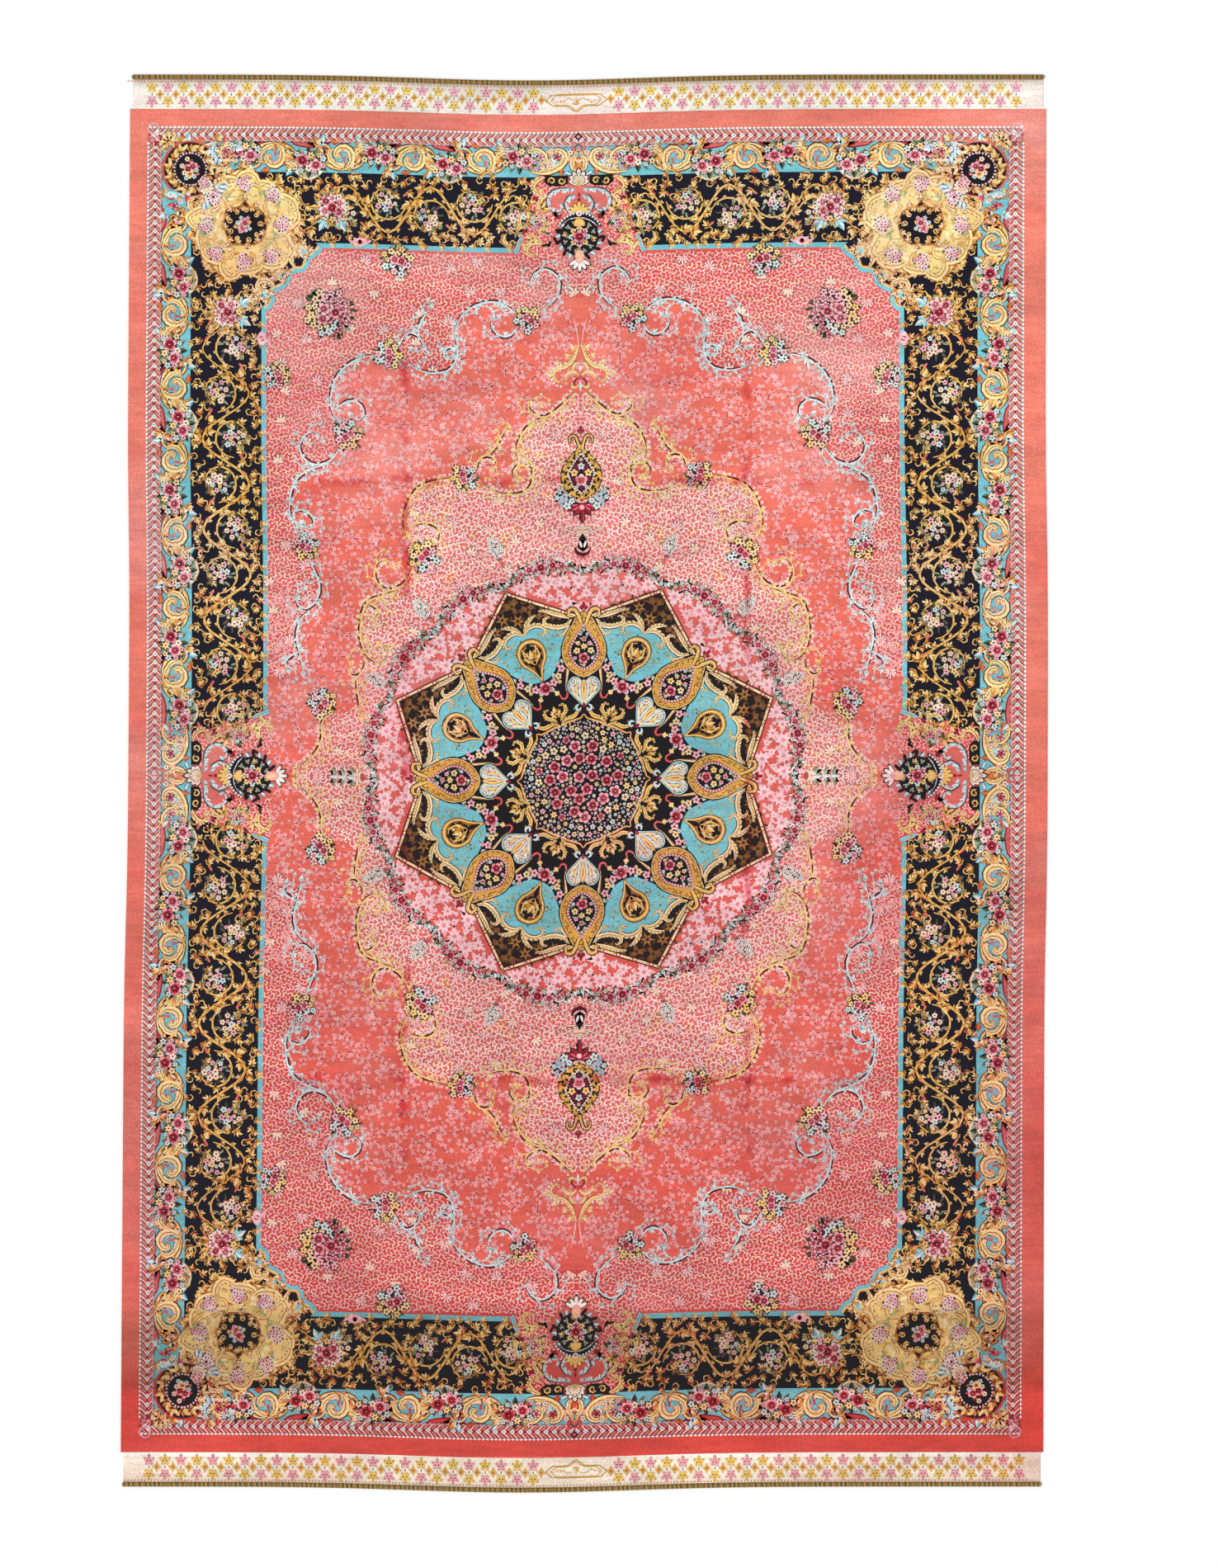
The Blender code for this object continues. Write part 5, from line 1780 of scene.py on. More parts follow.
def trailOf(length, halfWide, seed):
    # A stretch of leafy vine, s along and t across: one long wave with a curl and a bunch in each hollow
    d = newDrawing()
    pitch = length / round(length / 54)
    count = round(length / pitch)
    reach = halfWide - 15
    gilt = ("goldLight", "gold")
    wave = smoothPath([(s, reach * math.cos(math.pi * s / pitch)) for s in np.arange(0, length + 0.1, pitch / 6)], 2.6)
    stems = [wave]
    pick = random.Random(seed)
    for k in range(count + 1):
        side = -1 if k % 2 else 1
        s, t = k * pitch + 2, -side * reach * 0.34
        if s < length - 6:
            for n in range(16):  # grey-green foliage round the flowers
                angle, away = n * 2.4, 14 * math.sqrt((n + 0.5) / 16)
                leaf = ("greenLeaf", "darkLeaf", "ghostLeaf", "greyGreenLeaf")[n % 4]
                stampMotif(d, leaf, *polar(s, t, away, angle), angle - 1.2, 8.5, 2.0 + 0.04 * n)
            curl = spiralPath(s, t, 25, 14, math.pi if side > 0 else -math.pi, -side * 0.86, 2.4)
            stems.append(curl)
            leafyStem(d, curl, 2.2, gilt, "goldFrond", 11.5, 11.0, 1.4 + 0.1 * (k % 2), 0.85, "black")
            kinds = ("creamFlower", "pinkSmall", "yellowStar", "creamFlower", "white", "creamFlower", "pinkSmall",
                     "yellow", "creamFlower", "white", "pinkSmall")
            for n in range(11):
                angle, away = n * 2.4 + k, 12.5 * math.sqrt((n + 0.3) / 11)
                stampMotif(d, kinds[(n + k) % 11], *polar(s, t, away, angle), angle, (4.2, 3.4, 2.6)[n % 3],
                           3.4 + 0.1 * n)
        for n, (a, b, turn, leaf, size) in enumerate(((14, 20, 0.6, "redLeaf", 10), (-20, -18, 2.2, "redLeaf", 9),
                                                      (4, 34, -0.8, "orangeFrond", 10),
                                                      (26, 26, 2.5, "goldFrond", 11),
                                                      (-6, 40, 1.2, "goldFrond", 10), (27, 38, -2.2, "orangeFrond",
                                                              10))):
            if -2 < s + a < length + 2:
                stampMotif(d, leaf, s + a, side * b * 0.9, side * turn if side > 0 else math.pi - turn, size,
                           1.2 + 0.1 * n)
    placed = [tuple(point) for stem in stems for point in stem[::3]]
    placed += [(k * pitch + 2 + a, (1 if k % 2 else -1) * reach * 0.34 + b) for k in range(count + 1) for a,
               b in ((0, 0), (7, 0), (-7, 0), (0, 7), (0, -7))]
    for tries in range(int(length * 5)):  # small tendrils where the ground shows most
        s, t = pick.uniform(2, length - 2), pick.uniform(-halfWide + 4, halfWide - 4)
        if all((s - a) ** 2 + (t - b) ** 2 > 10.4 ** 2 for a, b in placed):
            placed.append((s, t))
            turn, way = pick.uniform(0, 6.28), pick.choice((-1, 1))
            hook = spiralPath(s, t, 5.5, 2.0, turn, way * 0.66, 1.8)
            ribbon(d, hook, 1.5, "goldLight", "gold", 0.0, 0.4, 0.5)
            stampMotif(d, "goldFrond" if len(placed) % 3 else "orangeFrond", hook[0][0], hook[0][1], turn - way * 0.4,
                       pick.uniform(7.5, 9.5), 0.2)
    leafyStem(d, wave, 2.8, gilt, "goldFrond", 11.5, 14.0, 2.6, 0.85, "black")
    for s in np.arange(10, length, 27.0):  # leaves that spill over the turquoise line
        stampMotif(d, "goldFrond", s, -halfWide + 3, math.pi + 0.5 * math.sin(s), 9.5, 2.2)
        stampMotif(d, "goldFrond", s + 9, -halfWide + 5, -0.9 * math.sin(s), 9, 2.1)
    return collect(d)


def roseBunch(x, y, seed):
    d = newDrawing()
    for angle in np.linspace(0, 2 * math.pi, 11)[:-1]:
        stampMotif(d, "goldTrefoil", *polar(x, y, 15, angle), angle - math.pi / 2, 12, 3.0)
        stampMotif(d, "greenLeaf", *polar(x, y, 11, angle + 0.3), angle - 1.3, 12, 3.4)
    blot(d, x, y, 17, 17, 0, "black", "green", 3.8, 12, lambda xy: lobeForm(xy, 7, 0.08))
    for k in range(10):
        angle = k * 2 * math.pi / 10 + 0.3
        kind = ("creamFlower", "pinkSmall", "yellow", "creamFlower", "white")[k % 5]
        stampMotif(d, kind, *polar(x, y, 15, angle), k, 4.2, 4.6)
    for k, (a, b, size) in enumerate(((-9, 5, 7.4), (8, 7, 7.0), (-8, -6, 7.0), (9, -5, 7.6), (0, -1, 8.6),
                                      (0, 11, 5.6))):
        stampMotif(d, ("rosePink", "rose", "rose", "rosePink", "roseRed", "rosePink")[k], x + a, y + b, k + seed,
                   size, 5.2 + 0.6 * k)
    for side in (1, -1):
        stampMotif(d, "seaTrefoil", x + side * 9, y - 16, math.pi + side * 0.5, 15, 4.0)
    return collect(d)


topTrail = shifted(trailOf(262, 43, 31), 76, 689)
sideTrail = swapped(shifted(trailOf(494, 43.5, 32), 78, 433.3))
cornerBits = joined(roseBunch(302, 690, 1), swapped(roseBunch(561, 432, 2)))
swirl = newDrawing()
for x, y, turn in ((268, 646, 0.0), (389, 527, math.pi / 2)):
    for k in range(5):
        stampMotif(swirl, "paleLeaf", x + (k - 2) * 3.4, y, turn + (k - 2) * -0.5, 9, 4.0 + 0.1 * k)
    blot(swirl, x, y + 2, 9, 5.5, turn, "white", "pale", 4.6, 10)
    blot(swirl, x, y + 2, 3.4, 3.2, turn, "darkRed", "red", 5.2, 7)
tendrilFill(swirl, (46, bands["navyLow"] + 4), (80, bands["navyTop"] - 4), lambda x, y: x > 48 + (730 - y) * 0.36, 5,
            10.5, 0.4)
tendrilFill(swirl, (bands["navyIn"] + 4, 46), (bands["navyOut"] - 4, 82), lambda x, y: y > 48 + (473 - x) * 0.36, 6,
            10.5, 0.4)
layInlay("mainBorder", overToAllQuarters(joined(topTrail, sideTrail, cornerBits, collect(swirl))), 1.0)


# Inner guard of scrolls
def guardCell(low):
    # One cell of the guard: a bunch with two roses, a fat scroll and its stems, s along and t outwards from its inner edge
    d = newDrawing()
    base = 9 if low else 20

    def place(points):
        return smoothPath([(s, 33.5 - t if low else t) for s, t in points], 2.0)

    hand = 1 if low else -1
    for a, b in ((-26, 22), (58, 90)):
        hill = smoothPath([(a, 34.5), (a + 6, 30), ((a + b) / 2, 27), (b - 6, 30), (b, 34.5)], 3)
        patchOf(d, [*hill.tolist(), (b, 34.6), (a, 34.6)], dye(216, 104, 96), 0.2)
        ribbon(d, hill, 1.8, "darkRed", "red", 0.8, 0.8, 0.8)
    if low:
        calyx = smoothPath([(-20, 2), (-13, -6), (-5, -10.5), (5, -10.5), (13, -6), (20, 2)], 3)
        patchOf(d, [(-22, 3), *calyx.tolist(), (22, 3), (14, 12), (-14, 12)], dye(150, 170, 150), 0.6)
        ribbon(d, calyx, 2.6, "ivory", "gold", 1.4, 0.4, 0.4)
        for k in range(7):
            stampMotif(d, "seaLeaf" if k % 2 else "greenLeaf", (k - 3) * 4.6, 5, math.pi + (k - 3) * 0.3, 12, 1.2)
    # stems, pale and gold, and the orange kite leaves
    for points, width, pair in (([(38, 2), (30, 3), (21, 8), (14, 15)], 3.4, ("scrollLight", "scrollMid")),
                                ([(38, 2), (50, 2), (60, 5), (68, 11), (76, 12)], 3.4, ("scrollLight", "scrollMid")),
                                ([(57, 22), (64, 30), (73, 30), (80, 24)], 3.0, ("scrollLight", "orange")),
                                ([(30, 22), (24, 30), (16, 31), (8, 33)], 3.0, ("scrollLight", "orange")),
                                ([(46, 7), (54, 9), (62, 14), (66, 21)], 2.6, ("white", "turquoisePale")),
                                ([(28, 10), (22, 16), (20, 24)], 2.6, ("white", "turquoisePale"))):
        path = place(points)
        ribbon(d, path, width * 1.7, "scrollLine", "scrollLine", 1.2, 0.7, 0.3)
        ribbon(d, path, width, pair[0], pair[1], 1.7, 0.7, 0.3)
    flip = (lambda s, t, turn: (s, 33.5 - t, math.pi - turn)) if low else (lambda s, t, turn: (s, t, turn))
    for s, t, turn, leaf, size in ((12, 24, -1.95, "kiteLeaf", 25), (77, 22, 2.0, "kiteLeaf", 24),
                                   (38, 2, 0.9, "creamFrond", 12), (40, 2, -0.9, "creamFrond", 12),
                                   (62, 6, -0.2, "creamFrond", 12), (26, 6, 0.3, "creamFrond", 11), (70, 31, 0.2,
                                           "seaLeafLined", 13), (66, 29, -1.0, "seaLeafLined", 12),
                                   (20, 30, -0.6, "seaLeafLined", 13), (50, 24, 2.6, "redLeaf", 9), (40, 9, -0.3,
                                           "redLeaf", 9), (56, 4, 1.4, "redLeaf", 9),
                                   (66, 16, -0.5, "creamFrond", 12), (74, 12, 0.4, "creamFrond", 11), (16, 12, 0.6,
                                           "creamFrond", 11), (48, 34, -1.5, "orangeLeaf", 11),
                                   (28, 31, 1.4, "creamFrond", 11), (80, 32, 1.0, "creamFrond", 12)):
        s, t, turn = flip(s, t, turn)
        stampMotif(d, leaf, s, t, turn, size, 1.4)
    # bunch
    for k in range(12):
        angle = k * 2 * math.pi / 12
        stampMotif(d, "darkLeaf" if k % 2 else "greenLeaf", 12 * math.cos(angle), base + 7 * math.sin(angle),
                   angle - 1.57, 13, 2.0)
    for k, (a, b, size, kind) in enumerate(((-9, -3, 8.0, "rose"), (7.5, 2.5, 9.0, "roseRed"),
                                            (-3, 8.5, 5.8, "yellowStar"),
                                           (0, -7, 4.4, "creamFlower"), (-18, 5, 4.2, "white"), (17, -6, 4.2, "cream"),
                                           (-7, -10.5, 3.4, "pinkSmall"), (14.5, 10, 3.6, "white"), (-18, -4, 3.4,
                                                   "pinkSmall"), (9, -10, 3.2, "white"),
                                           (-13, 9, 3.4, "cream"), (4, 12, 3.0, "white"))):
        stampMotif(d, kind, a, base + b, k, size, 3.0 + 0.5 * (size > 6) + 0.15 * k)
    crescent(d, place([(40, 2), (34, 7), (31, 15), (33, 24), (40, 29), (49, 28), (54, 21), (51, 15), (46, 17)]), 6.4,
             3.4, hand)
    crescent(d, place([(42, 3), (50, 5), (58, 10), (62, 18), (59, 25), (54, 26)]), 4.4, 3.0, -hand)
    crescent(d, place([(30, 20), (25, 26), (18, 29), (13, 25), (15, 21)]), 4.0, 3.2, -hand)
    for s, t, size in ((38, 18, 2.4), (44, 24, 2.2), (70, 20, 2.6)):
        s, t, _ = flip(s, t, 0)
        stampMotif(d, "pinkSmall", s, t, s, size, 4.4)
    return collect(d)


lowCell, highCell = guardCell(True), guardCell(False)
topCells = [shifted(lowCell if k % 2 else highCell, s, bands["scrollLow"]) for k,
            s in enumerate((72, 158, 245, 331, 412))]
sideCells = [swapped(shifted(lowCell if k % 2 == 0 else highCell, s, bands["scrollIn"])) for k,
             s in enumerate((77, 160, 248, 337, 426, 514, 600))]
facing = newDrawing()
pick = random.Random(2)
for k in range(34):
    motif = ("creamFrond", "redLeaf", "seaLeafLined", "creamFrond", "orangeLeaf")[k % 5]
    stampMotif(facing, motif, pick.uniform(3, 60), pick.uniform(3, 31), pick.uniform(0, 6.28), pick.uniform(8, 11),
               1.0 + 0.04 * k)
crescent(facing, smoothPath([(58, 3), (46, 2), (32, 4), (20, 11), (15, 20), (19, 29), (28, 31), (34, 26), (31, 20)],
                            2.2), 6.0, 3.0, -1)
crescent(facing, smoothPath([(60, 31), (50, 31), (42, 26), (39, 18), (44, 12), (50, 15)], 2), 4.6, 3.0, 1)
crescent(facing, smoothPath([(3, 3), (8, 8), (9, 16), (5, 23), (2, 30)], 2), 4.0, 3.0, 1)
for s, t, turn, leaf, size in ((6, 4, 0.4, "orangeLeaf", 18), (26, 12, -0.7, "seaFrond", 11),
                               (4, 24, -0.3, "redLeaf", 10)):
    stampMotif(facing, leaf, s, t, turn, size, 2.4)
for s, t, kind, size in ((26, 22, "roseRed", 5.2), (46, 21, "rose", 4.6), (10, 27, "creamFlower", 3.6),
                         (36, 9, "creamFlower", 3.4), (52, 8, "pinkSmall", 3.0), (33, 31, "white", 2.8)):
    stampMotif(facing, kind, s, t, s, size, 4.2)
facing = collect(facing)
facings = joined(shifted(facing, 0, bands["scrollLow"]), swapped(shifted(facing, 0, bands["scrollIn"])))
guardParts = joined(*topCells, *sideCells, facings)
layInlay("scrollGuard", overToAllQuarters(guardParts), 2.0)

topBay, sideBay = bayHalfAxis(730.0), bayHalfAxis(473.0)
layInlay("bays", joined(onEnds(topBay), onSides(sideBay)), 4.5)


# Corner pieces
def cornerPiece():
    d = newDrawing()
    cu, cv = 410.0, 667.0
    # scalloped gold and turquoise cut across the field's corner
    cut = smoothPath([(386, 566), (378, 574), (380, 586), (370, 592), (360, 598), (358, 608), (349, 614), (338, 616),
                      (334, 628), (324, 634), (318, 642)], 2.6)
    patchOf(d, [*cut.tolist(), (340, 660), (400, 650), (396, 580)], "navy", 0.0)
    ribbon(d, cut, 6.4, "turquoise", "turquoise", 0.8, 1, 1, 2.2)
    ribbon(d, cut, 3.2, "goldLight", "gold", 1.6, 1, 1, -1.0)
    ribbon(d, cut, 1.2, "scrollLine", "scrollLine", 1.9, 1, 1, -3.0)
    for x, y, turn in ((383, 578, 0.4), (362, 603, 0.75), (334, 632, 1.1)):
        blot(d, x + 5, y + 5, 11, 9, turn, "scrollLine", "scrollLine", 1.8, 14)
        blot(d, x + 5, y + 5, 9.6, 7.6, turn, "scrollMid", "scrollLight", 2.1, 14)
        blot(d, x + 4, y + 4, 6.0, 4.6, turn, "turquoise", "turquoisePale", 2.4, 10)
        for k in range(5):
            stampMotif(d, "creamFrond", x + 5 + 7 * math.cos(k * 1.3), y + 5 + 6 * math.sin(k * 1.3), k * 1.3 - 0.6,
                       10, 2.7)
    crescent(d, smoothPath([(372, 590), (380, 600), (392, 600), (396, 590), (388, 584)], 2), 4.6, 2.6, -1)
    crescent(d, smoothPath([(348, 614), (354, 626), (350, 640), (340, 644), (334, 637)], 2), 4.6, 2.6, 1)

    def lobed(angle, share):
        reach = (64 + 4.5 * math.sin(5 * angle + 0.8) + 2.5 * math.sin(9 * angle)) * share
        return cu + reach * math.cos(angle), cv + reach * math.sin(angle) * 0.97

    cloud = [lobed(a, 1.0) for a in np.linspace(0, 2 * math.pi, 91)[:-1]]
    patchOf(d, [lobed(a, 1.035) for a in np.linspace(0, 2 * math.pi, 91)[:-1]], dye(112, 52, 26), 1.4)
    patchOf(d, cloud, "yellow", 1.8)
    pick = random.Random(9)
    for k in range(13):  # curling leaves round the cloud's edge
        a = k * 2 * math.pi / 13 + 0.2
        way = 1 if k % 2 else -1
        edge = smoothPath([lobed(a + way * da, share) for da, share in ((-0.34, 0.74), (-0.16, 0.92), (0.06, 1.03),
                                                                        (0.24, 0.99), (0.26, 0.86), (0.16, 0.84))],
                          2.2)
        crescent(d, edge, 6.0, 2.8 + 0.2 * (k % 3), way, "yellowPale", "cloudMid", "goldDark", "cloudLine",
                 "cloudTongue")
        for lean, share, size in ((0.1, 0.99, 14), (-0.16, 1.0, 12)):
            x, y = lobed(a + way * lean, share)
            stampMotif(d, "goldFrond", x, y, a - math.pi / 2 - way * (0.8 if lean > 0 else -0.4), size, 1.2)
    for k in range(210):  # soft cloud shading and specks
        angle, reach = pick.uniform(0, 2 * math.pi), 27 + 29 * math.sqrt(pick.random())
        x, y = cu + reach * math.cos(angle), cv + reach * math.sin(angle) * 0.95
        kind = ("cloudLeaf", "cloudLight", "cloudDark", "speckle", "cloudLight", "cloudDark")[k % 6]
        stampMotif(d, kind, x, y, angle + pick.uniform(-0.9, 0.9), pick.uniform(6, 13), 2.2 + 0.01 * k)
    for k in range(9):
        angle = k * 2 * math.pi / 9 + 0.4
        curl = spiralPath(cu + 43 * math.cos(angle), cv + 41 * math.sin(angle), 13, 3, angle + 2,
                          0.9 if k % 2 else -0.9, 2.4)
        ribbon(d, curl, 4.0, "cloudLine", "cloudLine", 4.8, 0.4, 0.3)
        ribbon(d, curl, 2.6, "yellowPale", "cloudMid", 5.2, 0.4, 0.3)
    for a, b in ((0, 50), (-34, 38), (-46, 2), (48, 0), (36, -34), (1, -46), (38, 33), (-33, -37)):
        x, y = cu + a, cv + b
        for k in range(9):
            angle, reach = k * 2.4 + a, 9.4 * math.sqrt((k + 0.4) / 9)
            stampMotif(d, "darkLeaf" if k % 3 else "greenLeaf", *polar(x, y, reach, angle), angle, 6.5, 5.8)
            stampMotif(d, "sprigFlower" if k % 3 else "pinkSmall", *polar(x, y, reach, angle), k, 3.4, 6.4 + 0.1 * k)
    # dark diamond with its flowers
    diamond = smoothPath([(cu + 1.12 * a, cv + 1.10 * b) for a, b in ((0, 27), (8, 19), (19, 19), (23, 6), (21, -9),
                                                                      (14, -21), (0, -22), (-14, -20), (-22, -9),
                                                                      (-24, 5), (-17, 17), (-7, 18), (0, 27))], 3)
    for k in range(20):
        x, y = diamond[round(k * (len(diamond) - 1) / 20)]
        stampMotif(d, "goldFrond" if k % 2 else "creamFrond", x, y, k * 2.1, 9, 6.0)
    patchOf(d, diamond[:-1].tolist(), "black", 6.6)
    ribbon(d, diamond, 1.6, "darkRed", "goldDark", 6.9, 1, 1)
    for k in range(9):
        angle = k * 2 * math.pi / 9 + 0.3
        hook = spiralPath(cu + 19 * math.cos(angle), cv + 18.5 * math.sin(angle), 3.8, 1.6, angle,
                          0.8 if k % 2 else -0.8, 1.6)
        ribbon(d, hook, 1.4, "goldLight", "gold", 7.2, 0.5, 0.5)
        stampMotif(d, "goldFrond", hook[0][0], hook[0][1], angle + 1.2, 5.6, 7.3)
    for k in range(15):
        angle, reach = k * 2.4, 10.5 * math.sqrt((k + 0.5) / 15)
        kind = ("rosePink", "roseRed", "rose")[k] if k < 3 else ("white", "yellow", "pinkSmall", "white")[k % 4]
        if k < 8:
            stampMotif(d, "darkLeaf", *polar(cu + 2, cv, reach, angle), angle, 8, 7.6)
        stampMotif(d, kind, *polar(cu + 2, cv, reach, angle), k, 5.4 if k < 3 else 2.7,
                   8.2 + (0.9 if k < 3 else 0) + 0.1 * k)
    tendrilFill(d, (336, 560), (bands["navyOut"] - 4, bands["navyTop"] - 4),
                lambda x, y: math.hypot(x - cu,
                                        y - cv) > 66 and (y > bands["navyLow"] + 4 or x > bands["navyIn"] + 4 or x + y > 972)
                and (x > 352 or y > 650) and math.hypot(x - 478, y - 735) > 36, 8, 10.5, 1.2)
    # guard's ground round the corner, and the round badge
    ru, rv = 478.0, 735.0
    patchOf(d, [(ru + 36 * math.cos(a), rv + 35 * math.sin(a)) for a in np.linspace(0, 2 * math.pi, 41)[:-1]],
            dye(206, 92, 76), 3.0)
    for points, wide, way in (([(436, 700), (430, 708), (431, 717), (439, 721), (446, 716), (444, 709), (438, 711)],
                               5.0, 1),
                              ([(440, 690), (448, 684), (458, 684), (463, 691), (459, 698), (452, 696)], 5.0, -1),
                              ([(428, 730), (436, 736), (446, 734), (449, 726)], 4.2,
                               -1), ([(473, 682), (480, 690), (478, 699), (470, 702)], 4.2, 1)):
        crescent(d, smoothPath(points, 2), wide, 3.1, way, "cream", "scrollMid", "goldDark", "scrollLine",
                 "shieldTongue")
    for k in range(16):
        angle = math.radians(225) + (k - 7.5) * 0.21
        stampMotif(d, ("seaFrond", "creamFrond", "goldFrond")[k % 3], *polar(ru, rv, 39, angle), angle + k, 9, 3.2)
    for x, y, turn, leaf, size in ((440, 742, 0.8, "redLeaf", 13), (432, 752, 2.2, "goldFrond", 13),
                                   (445, 758, -0.6, "orangeLeaf", 15), (428, 742, -1.2, "creamFrond", 12),
                                   (484, 694, 0.5, "redLeaf", 13), (494, 688, 2.6, "goldFrond", 13), (500, 698, -0.8,
                                           "orangeLeaf", 15), (484, 684, -2.0, "creamFrond", 12),
                                   (436, 766, 0.2, "redLeaf", 12), (508, 690, 1.4, "redLeaf", 12), (424, 762, 1.9,
                                           "seaFrond", 12), (506, 680, -1.9, "seaFrond", 12),
                                   (448, 770, 1.0, "goldFrond", 13), (512, 700, 0.4, "goldFrond", 13)):
        stampMotif(d, leaf, x, y, turn, size, 3.2)
    for x, y, kind, size in ((434, 757, "roseRed", 4.6), (498, 690, "roseRed", 4.6), (441, 750, "creamFlower", 3.2),
                             (491, 697, "creamFlower", 3.2), (428, 749, "pinkSmall", 2.8),
                             (490, 683, "pinkSmall", 2.8)):
        stampMotif(d, kind, x, y, x, size, 3.8)
    blot(d, ru, rv, 33, 33, 0, "scrollLine", "scrollLine", 3.3, 32)
    blot(d, ru, rv, 31.8, 31.8, 0, "black", "black", 3.9, 32)
    for k in range(13):
        angle = k * 2 * math.pi / 13
        stampMotif(d, "goldFrond", *polar(ru, rv, 22, angle), angle - math.pi / 2 + (1.1 if k % 2 else 0.5), 13,
                   4.3 + 0.1 * (k % 3))
        stampMotif(d, "scrollTongue", *polar(ru, rv, 24, angle + 0.2), angle - math.pi / 2 + 1.2, 10, 4.2)
    blot(d, ru, rv, 22.4, 22.4, 0, "black", "navy", 5.2, 28)
    pearls(d, spiralPath(ru, rv, 19.8, 19.8, 0, 1, 2), 4.0, 1.3, "pale", "greyBlue", 5.6)
    blot(d, ru, rv, 17, 17, 0, "navy", "black", 6.1, 24)
    for k in range(13):
        angle, reach = k * 2.4, 13.5 * math.sqrt((k + 0.5) / 13)
        kind = ("roseRed", "rose", "yellow")[k] if k < 3 else ("redLeaf", "white", "creamFlower")[k % 3]
        stampMotif(d, "redLeaf", *polar(ru, rv, reach, angle), angle + 1, 8, 6.5)
        stampMotif(d, kind, *polar(ru, rv, reach, angle), k, 6.2 if k < 3 else 3.2, 7.1 + 0.1 * k)
    # shell between the badge and the cloud
    inward = math.radians(225) - math.pi / 2
    for k in range(7):
        stampMotif(d, "seaLeafLined", 451 + (k - 3) * 3.0, 704 - (k - 3) * 3.0, inward + (k - 3) * 0.30, 11, 6.4)
    stampMotif(d, "shell", 461, 716, inward, 16, 7.0)
    for k in range(5):
        stampMotif(d, "pinkSmall" if k % 2 else "rosePink", *polar(461, 719, 4, k * 1.3), k, 3.9, 8.6 + 0.1 * k)
    # turquoise and gold scrolls in the guard either side
    for points in ([(446, 768), (450, 758), (444, 748), (448, 738)], [(510, 704), (501, 708), (490, 704), (482, 708)]):
        acanthus(d, smoothPath(points, 2.5), 4.0, 4.6, 6.5, 11, 1, "white", "turquoisePale", "turquoiseDark",
                 "seaFrond")
    for points in ([(498, 762), (506, 770), (513, 764), (508, 756)], [(494, 768), (500, 776), (508, 776), (512, 772)]):
        crescent(d, smoothPath(points, 2), 4.4, 4.8, 1)
    for angle in (0.0, 0.8, -0.8, -1.6, 1.6):
        stampMotif(d, "creamFrond", 505, 768, angle - 0.785, 12, 4.8)
    return collect(d)


layInlay("cornerPieces", overToAllQuarters(cornerPiece()), 5.0)


# Chevron guard
def chevronStretch(first, last):
    # Herringbone running along s, t from the band's inner edge (0) to its outer edge (17)
    d = newDrawing()
    pitch = (last - first) / round((last - first) / 10.2)
    count = round((last - first) / pitch)
    sketch["plain"] = 1
    tones = ((dye(238, 132, 112), 0.0, 0.26), ("ivory", 0.26, 0.40), (dye(150, 34, 44), 0.40, 0.58),
             (dye(234, 112, 90), 0.58, 0.80),
             (dye(156, 190, 184), 0.80, 0.92), (dye(120, 60, 60), 0.92, 1.0))
    middle, lean = 8.0, 5.4
    for k in range(count):
        s = first + k * pitch
        for paint, a, b in tones:
            xy, tris = stripShape(1)
            for side in (1, -1):
                share = xy[:, 0] + 0.5
                tip = xy[:, 1] + 0.5
                across = middle + side * (1.6 + tip * (middle - 2.4))
                place = s + (a + (b - a) * share) * pitch - tip * lean
                order = tris if side > 0 else tris[:, ::-1]
                addPart(d, np.column_stack((place, across)), order, paint, 0.4)
        blot(d, s + pitch * 0.35, middle, 3.6, 3.0, 0, "turquoisePale", "white", 1.0, 4)
        blot(d, s + pitch * 0.35, middle, 1.3, 1.3, 0, "turquoiseDark", "turquoise", 1.4, 4)
        blot(d, s + pitch * 0.85, middle, 2.2, 1.4, 0, "darkRed", "red", 1.0, 4)
        for half in (0.0, 0.5):
            blot(d, s + pitch * (0.25 + half), 17.0, 2.3, 1.5, 0, "white", "ivory", 1.0, 4)
            blot(d, s + pitch * (0.0 + half), 15.4, 1.7, 1.2, 0, "navy", "greyBlue", 0.8, 4)
            blot(d, s + pitch * (0.1 + half), 0.6, 1.6, 1.2, 0, "white", "greyBlue", 0.8, 4)
        blot(d, s + pitch * 0.5, -0.6, 5.2, 0.6, 0, "rose", "darkRed", 0.8, 4)
    sketch["plain"] = 0
    return collect(d)


topStretch = shifted(chevronStretch(0, 531.0), 0, bands["chevronLow"] - 0.3)
sideStretch = swapped(shifted(chevronStretch(0, 769.0), 0, bands["chevronIn"] - 0.2))
knots = newDrawing()
loop = smoothPath([(515, 773), (519, 780), (518, 787), (523, 791), (529, 788), (531, 783), (527, 778), (521, 778),
                   (515, 773)], 1.8)
ribbon(knots, loop, 2.2, "pale", "pink", 3.0, 1, 1)
ribbon(knots, loop, 0.8, "rose", "greyBlue", 3.4, 1, 1)
for x, y, turn in ((526, 784, -0.785), (521, 776, 0.6), (517, 782, -2.0)):
    stampMotif(knots, "seaLeaf", x, y, turn, 6, 3.2)
for x, y in ((512, 771), (506, 766), (518, 764)):
    stampMotif(knots, "redTulip", x, y, -0.785, 9, 3.2)
gems = newDrawing()
for reach, size in ((781, 5.2), (767, 6.4)):
    blot(gems, 0, reach, size, size, 0, "turquoisePale" if size > 6 else "darkRed", "black", 3.0, 4)
    blot(gems, 0, reach, size * 0.5, size * 0.5, 0, "pink", "rose", 3.6, 4)
sideGem = newDrawing()
for turn in range(8):
    stampMotif(sideGem, "greyLeaf" if turn % 2 else "redLeaf", 0, 511, turn * math.pi / 4, 9, 3.0)
motifsRound = joined(onEnds(collect(gems)), onSides(collect(sideGem)))
